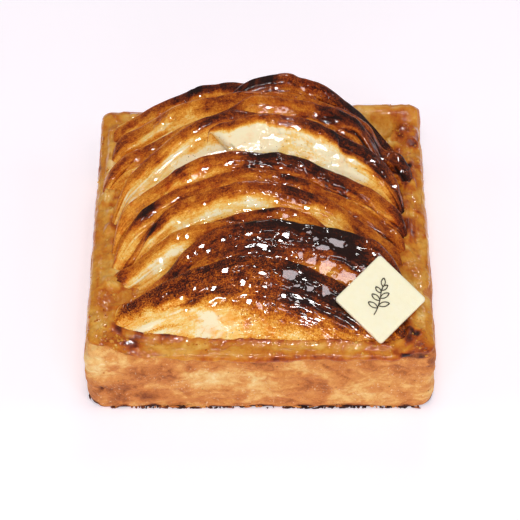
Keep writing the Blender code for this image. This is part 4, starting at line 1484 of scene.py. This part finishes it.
def make_stage():
    """The table top."""
    mesh = bpy.data.meshes.new("floor")
    builder = bmesh.new()
    bmesh.ops.create_grid(builder, x_segments=8, y_segments=8, size=FLOOR_HALF)
    builder.to_mesh(mesh)
    builder.free()
    mesh.materials.append(floor_material())
    floor = bpy.data.objects.new("floor", mesh)
    bpy.context.scene.collection.objects.link(floor)


def add_light(name, away, distance, size, power, mirrored=True, color=(1.0, 1.0, 1.0)):
    """A soft box that looks at the tart.  Only a mirrored one shows in the glaze."""
    light = bpy.data.lights.new(name, "AREA")
    light.shape = "RECTANGLE"
    light.size, light.size_y = size
    light.energy = power
    light.color = color
    item = bpy.data.objects.new(name, light)
    away = Vector(away)
    item.location = LIT_POINT + away * distance
    item.rotation_mode = "QUATERNION"
    item.rotation_quaternion = away.to_track_quat("Z", "Y")
    item.visible_glossy = mirrored
    bpy.context.scene.collection.objects.link(item)


def make_lights():
    """Soft boxes all round for shade, and smaller ones that the glaze mirrors."""
    add_light("low_front_box", toward(8, 12), 1.1, (0.9, 0.28), 2.6, mirrored=False)
    add_light("front_box", toward(-10, 50), 1.1, (0.7, 0.4), 1.4, mirrored=False)
    add_light("top_box", toward(0, 88), 1.0, (0.40, 0.30), 1.3, mirrored=False)
    add_light("left_box", toward(-82, 34), 1.0, (0.35, 0.5), 1.1, mirrored=False)
    add_light("right_box", toward(82, 34), 1.0, (0.35, 0.5), 1.1, mirrored=False)
    add_light("back_box", toward(180, 30), 1.1, (0.8, 0.35), 1.2, mirrored=False)
    add_light("back_sheen", toward(180, 45), 1.0, (0.14, 0.06), 0.22)
    add_light("back_spark", toward(168, 50), 1.0, (0.05, 0.03), 0.35)
    add_light("strip", STRIP_LIGHT, 0.95, (0.11, 0.05), 1.3)
    add_light("strip_high", toward(8, 74), 0.95, (0.08, 0.03), 0.5)
    add_light("spark_left", toward(-24, 43), 0.90, (0.03, 0.03), 0.25)
    add_light("spark_right", toward(30, 48), 0.90, (0.03, 0.03), 0.25)
    add_light("glow", GLOW_LIGHT, 1.00, (0.13, 0.10), 0.52, color=(1.0, 0.89, 0.93))
    world = bpy.data.worlds.new("studio")
    bpy.context.scene.world = world
    world.use_nodes = True
    background = world.node_tree.nodes["Background"]
    background.inputs["Color"].default_value = (1.0, 0.965, 1.0, 1.0)
    background.inputs["Strength"].default_value = 0.16


def make_camera():
    """The photo's camera, fitted to the four corners of the rim."""
    data = bpy.data.cameras.new("camera")
    data.sensor_width = SENSOR_WIDTH
    data.lens = CAMERA_FOCAL * SENSOR_WIDTH / FRAME_PIXELS
    data.clip_start, data.clip_end = 0.05, 10.0
    camera = bpy.data.objects.new("camera", data)
    camera.location = Vector(CAMERA_PLACE) * MM
    camera.rotation_euler = Euler((radians(90.0 - CAMERA_DOWN), 0.0, 0.0))
    bpy.context.scene.collection.objects.link(camera)
    bpy.context.scene.camera = camera


# ------------------------------------------------------------------ putting it together

def main():
    """Everything in the scene, the slices from the front to the back first."""
    make_camera()
    make_lights()
    make_stage()
    golden = apple_material("baked_apple_golden", warm=0.35, grainy=0.38, least_coat=0.70)
    browned = apple_material("baked_apple_browned", warm=0.75, grainy=0.34)
    charred = apple_material("baked_apple_charred", warm=0.85, grainy=0.55)
    speckled = apple_material("baked_apple_speckled", warm=0.60, grainy=1.10, least_coat=0.12)
    by_slot = {"apple_golden": golden, "apple_browned": browned, "apple_charred": charred}
    grids = []
    for index, baking in enumerate(BAKING):
        material = by_slot[baking.slot] if index else speckled
        grids.append(make_slice(index, material, grids))
    low = np.concatenate([g[:, ::2].reshape(-1, 3) for g in grids])
    feet = point_tree(low[low[:, 2] < RIM_HEIGHT + 3.0])
    baked = pastry_material()
    case, wet = make_pastry(baked, feet)
    make_bits(baked)
    make_bubbles(case, wet, baked)
    make_plaque(chocolate_material())
    make_sprig(line_material())
    bpy.context.scene.view_settings.view_transform = "Standard"


main()
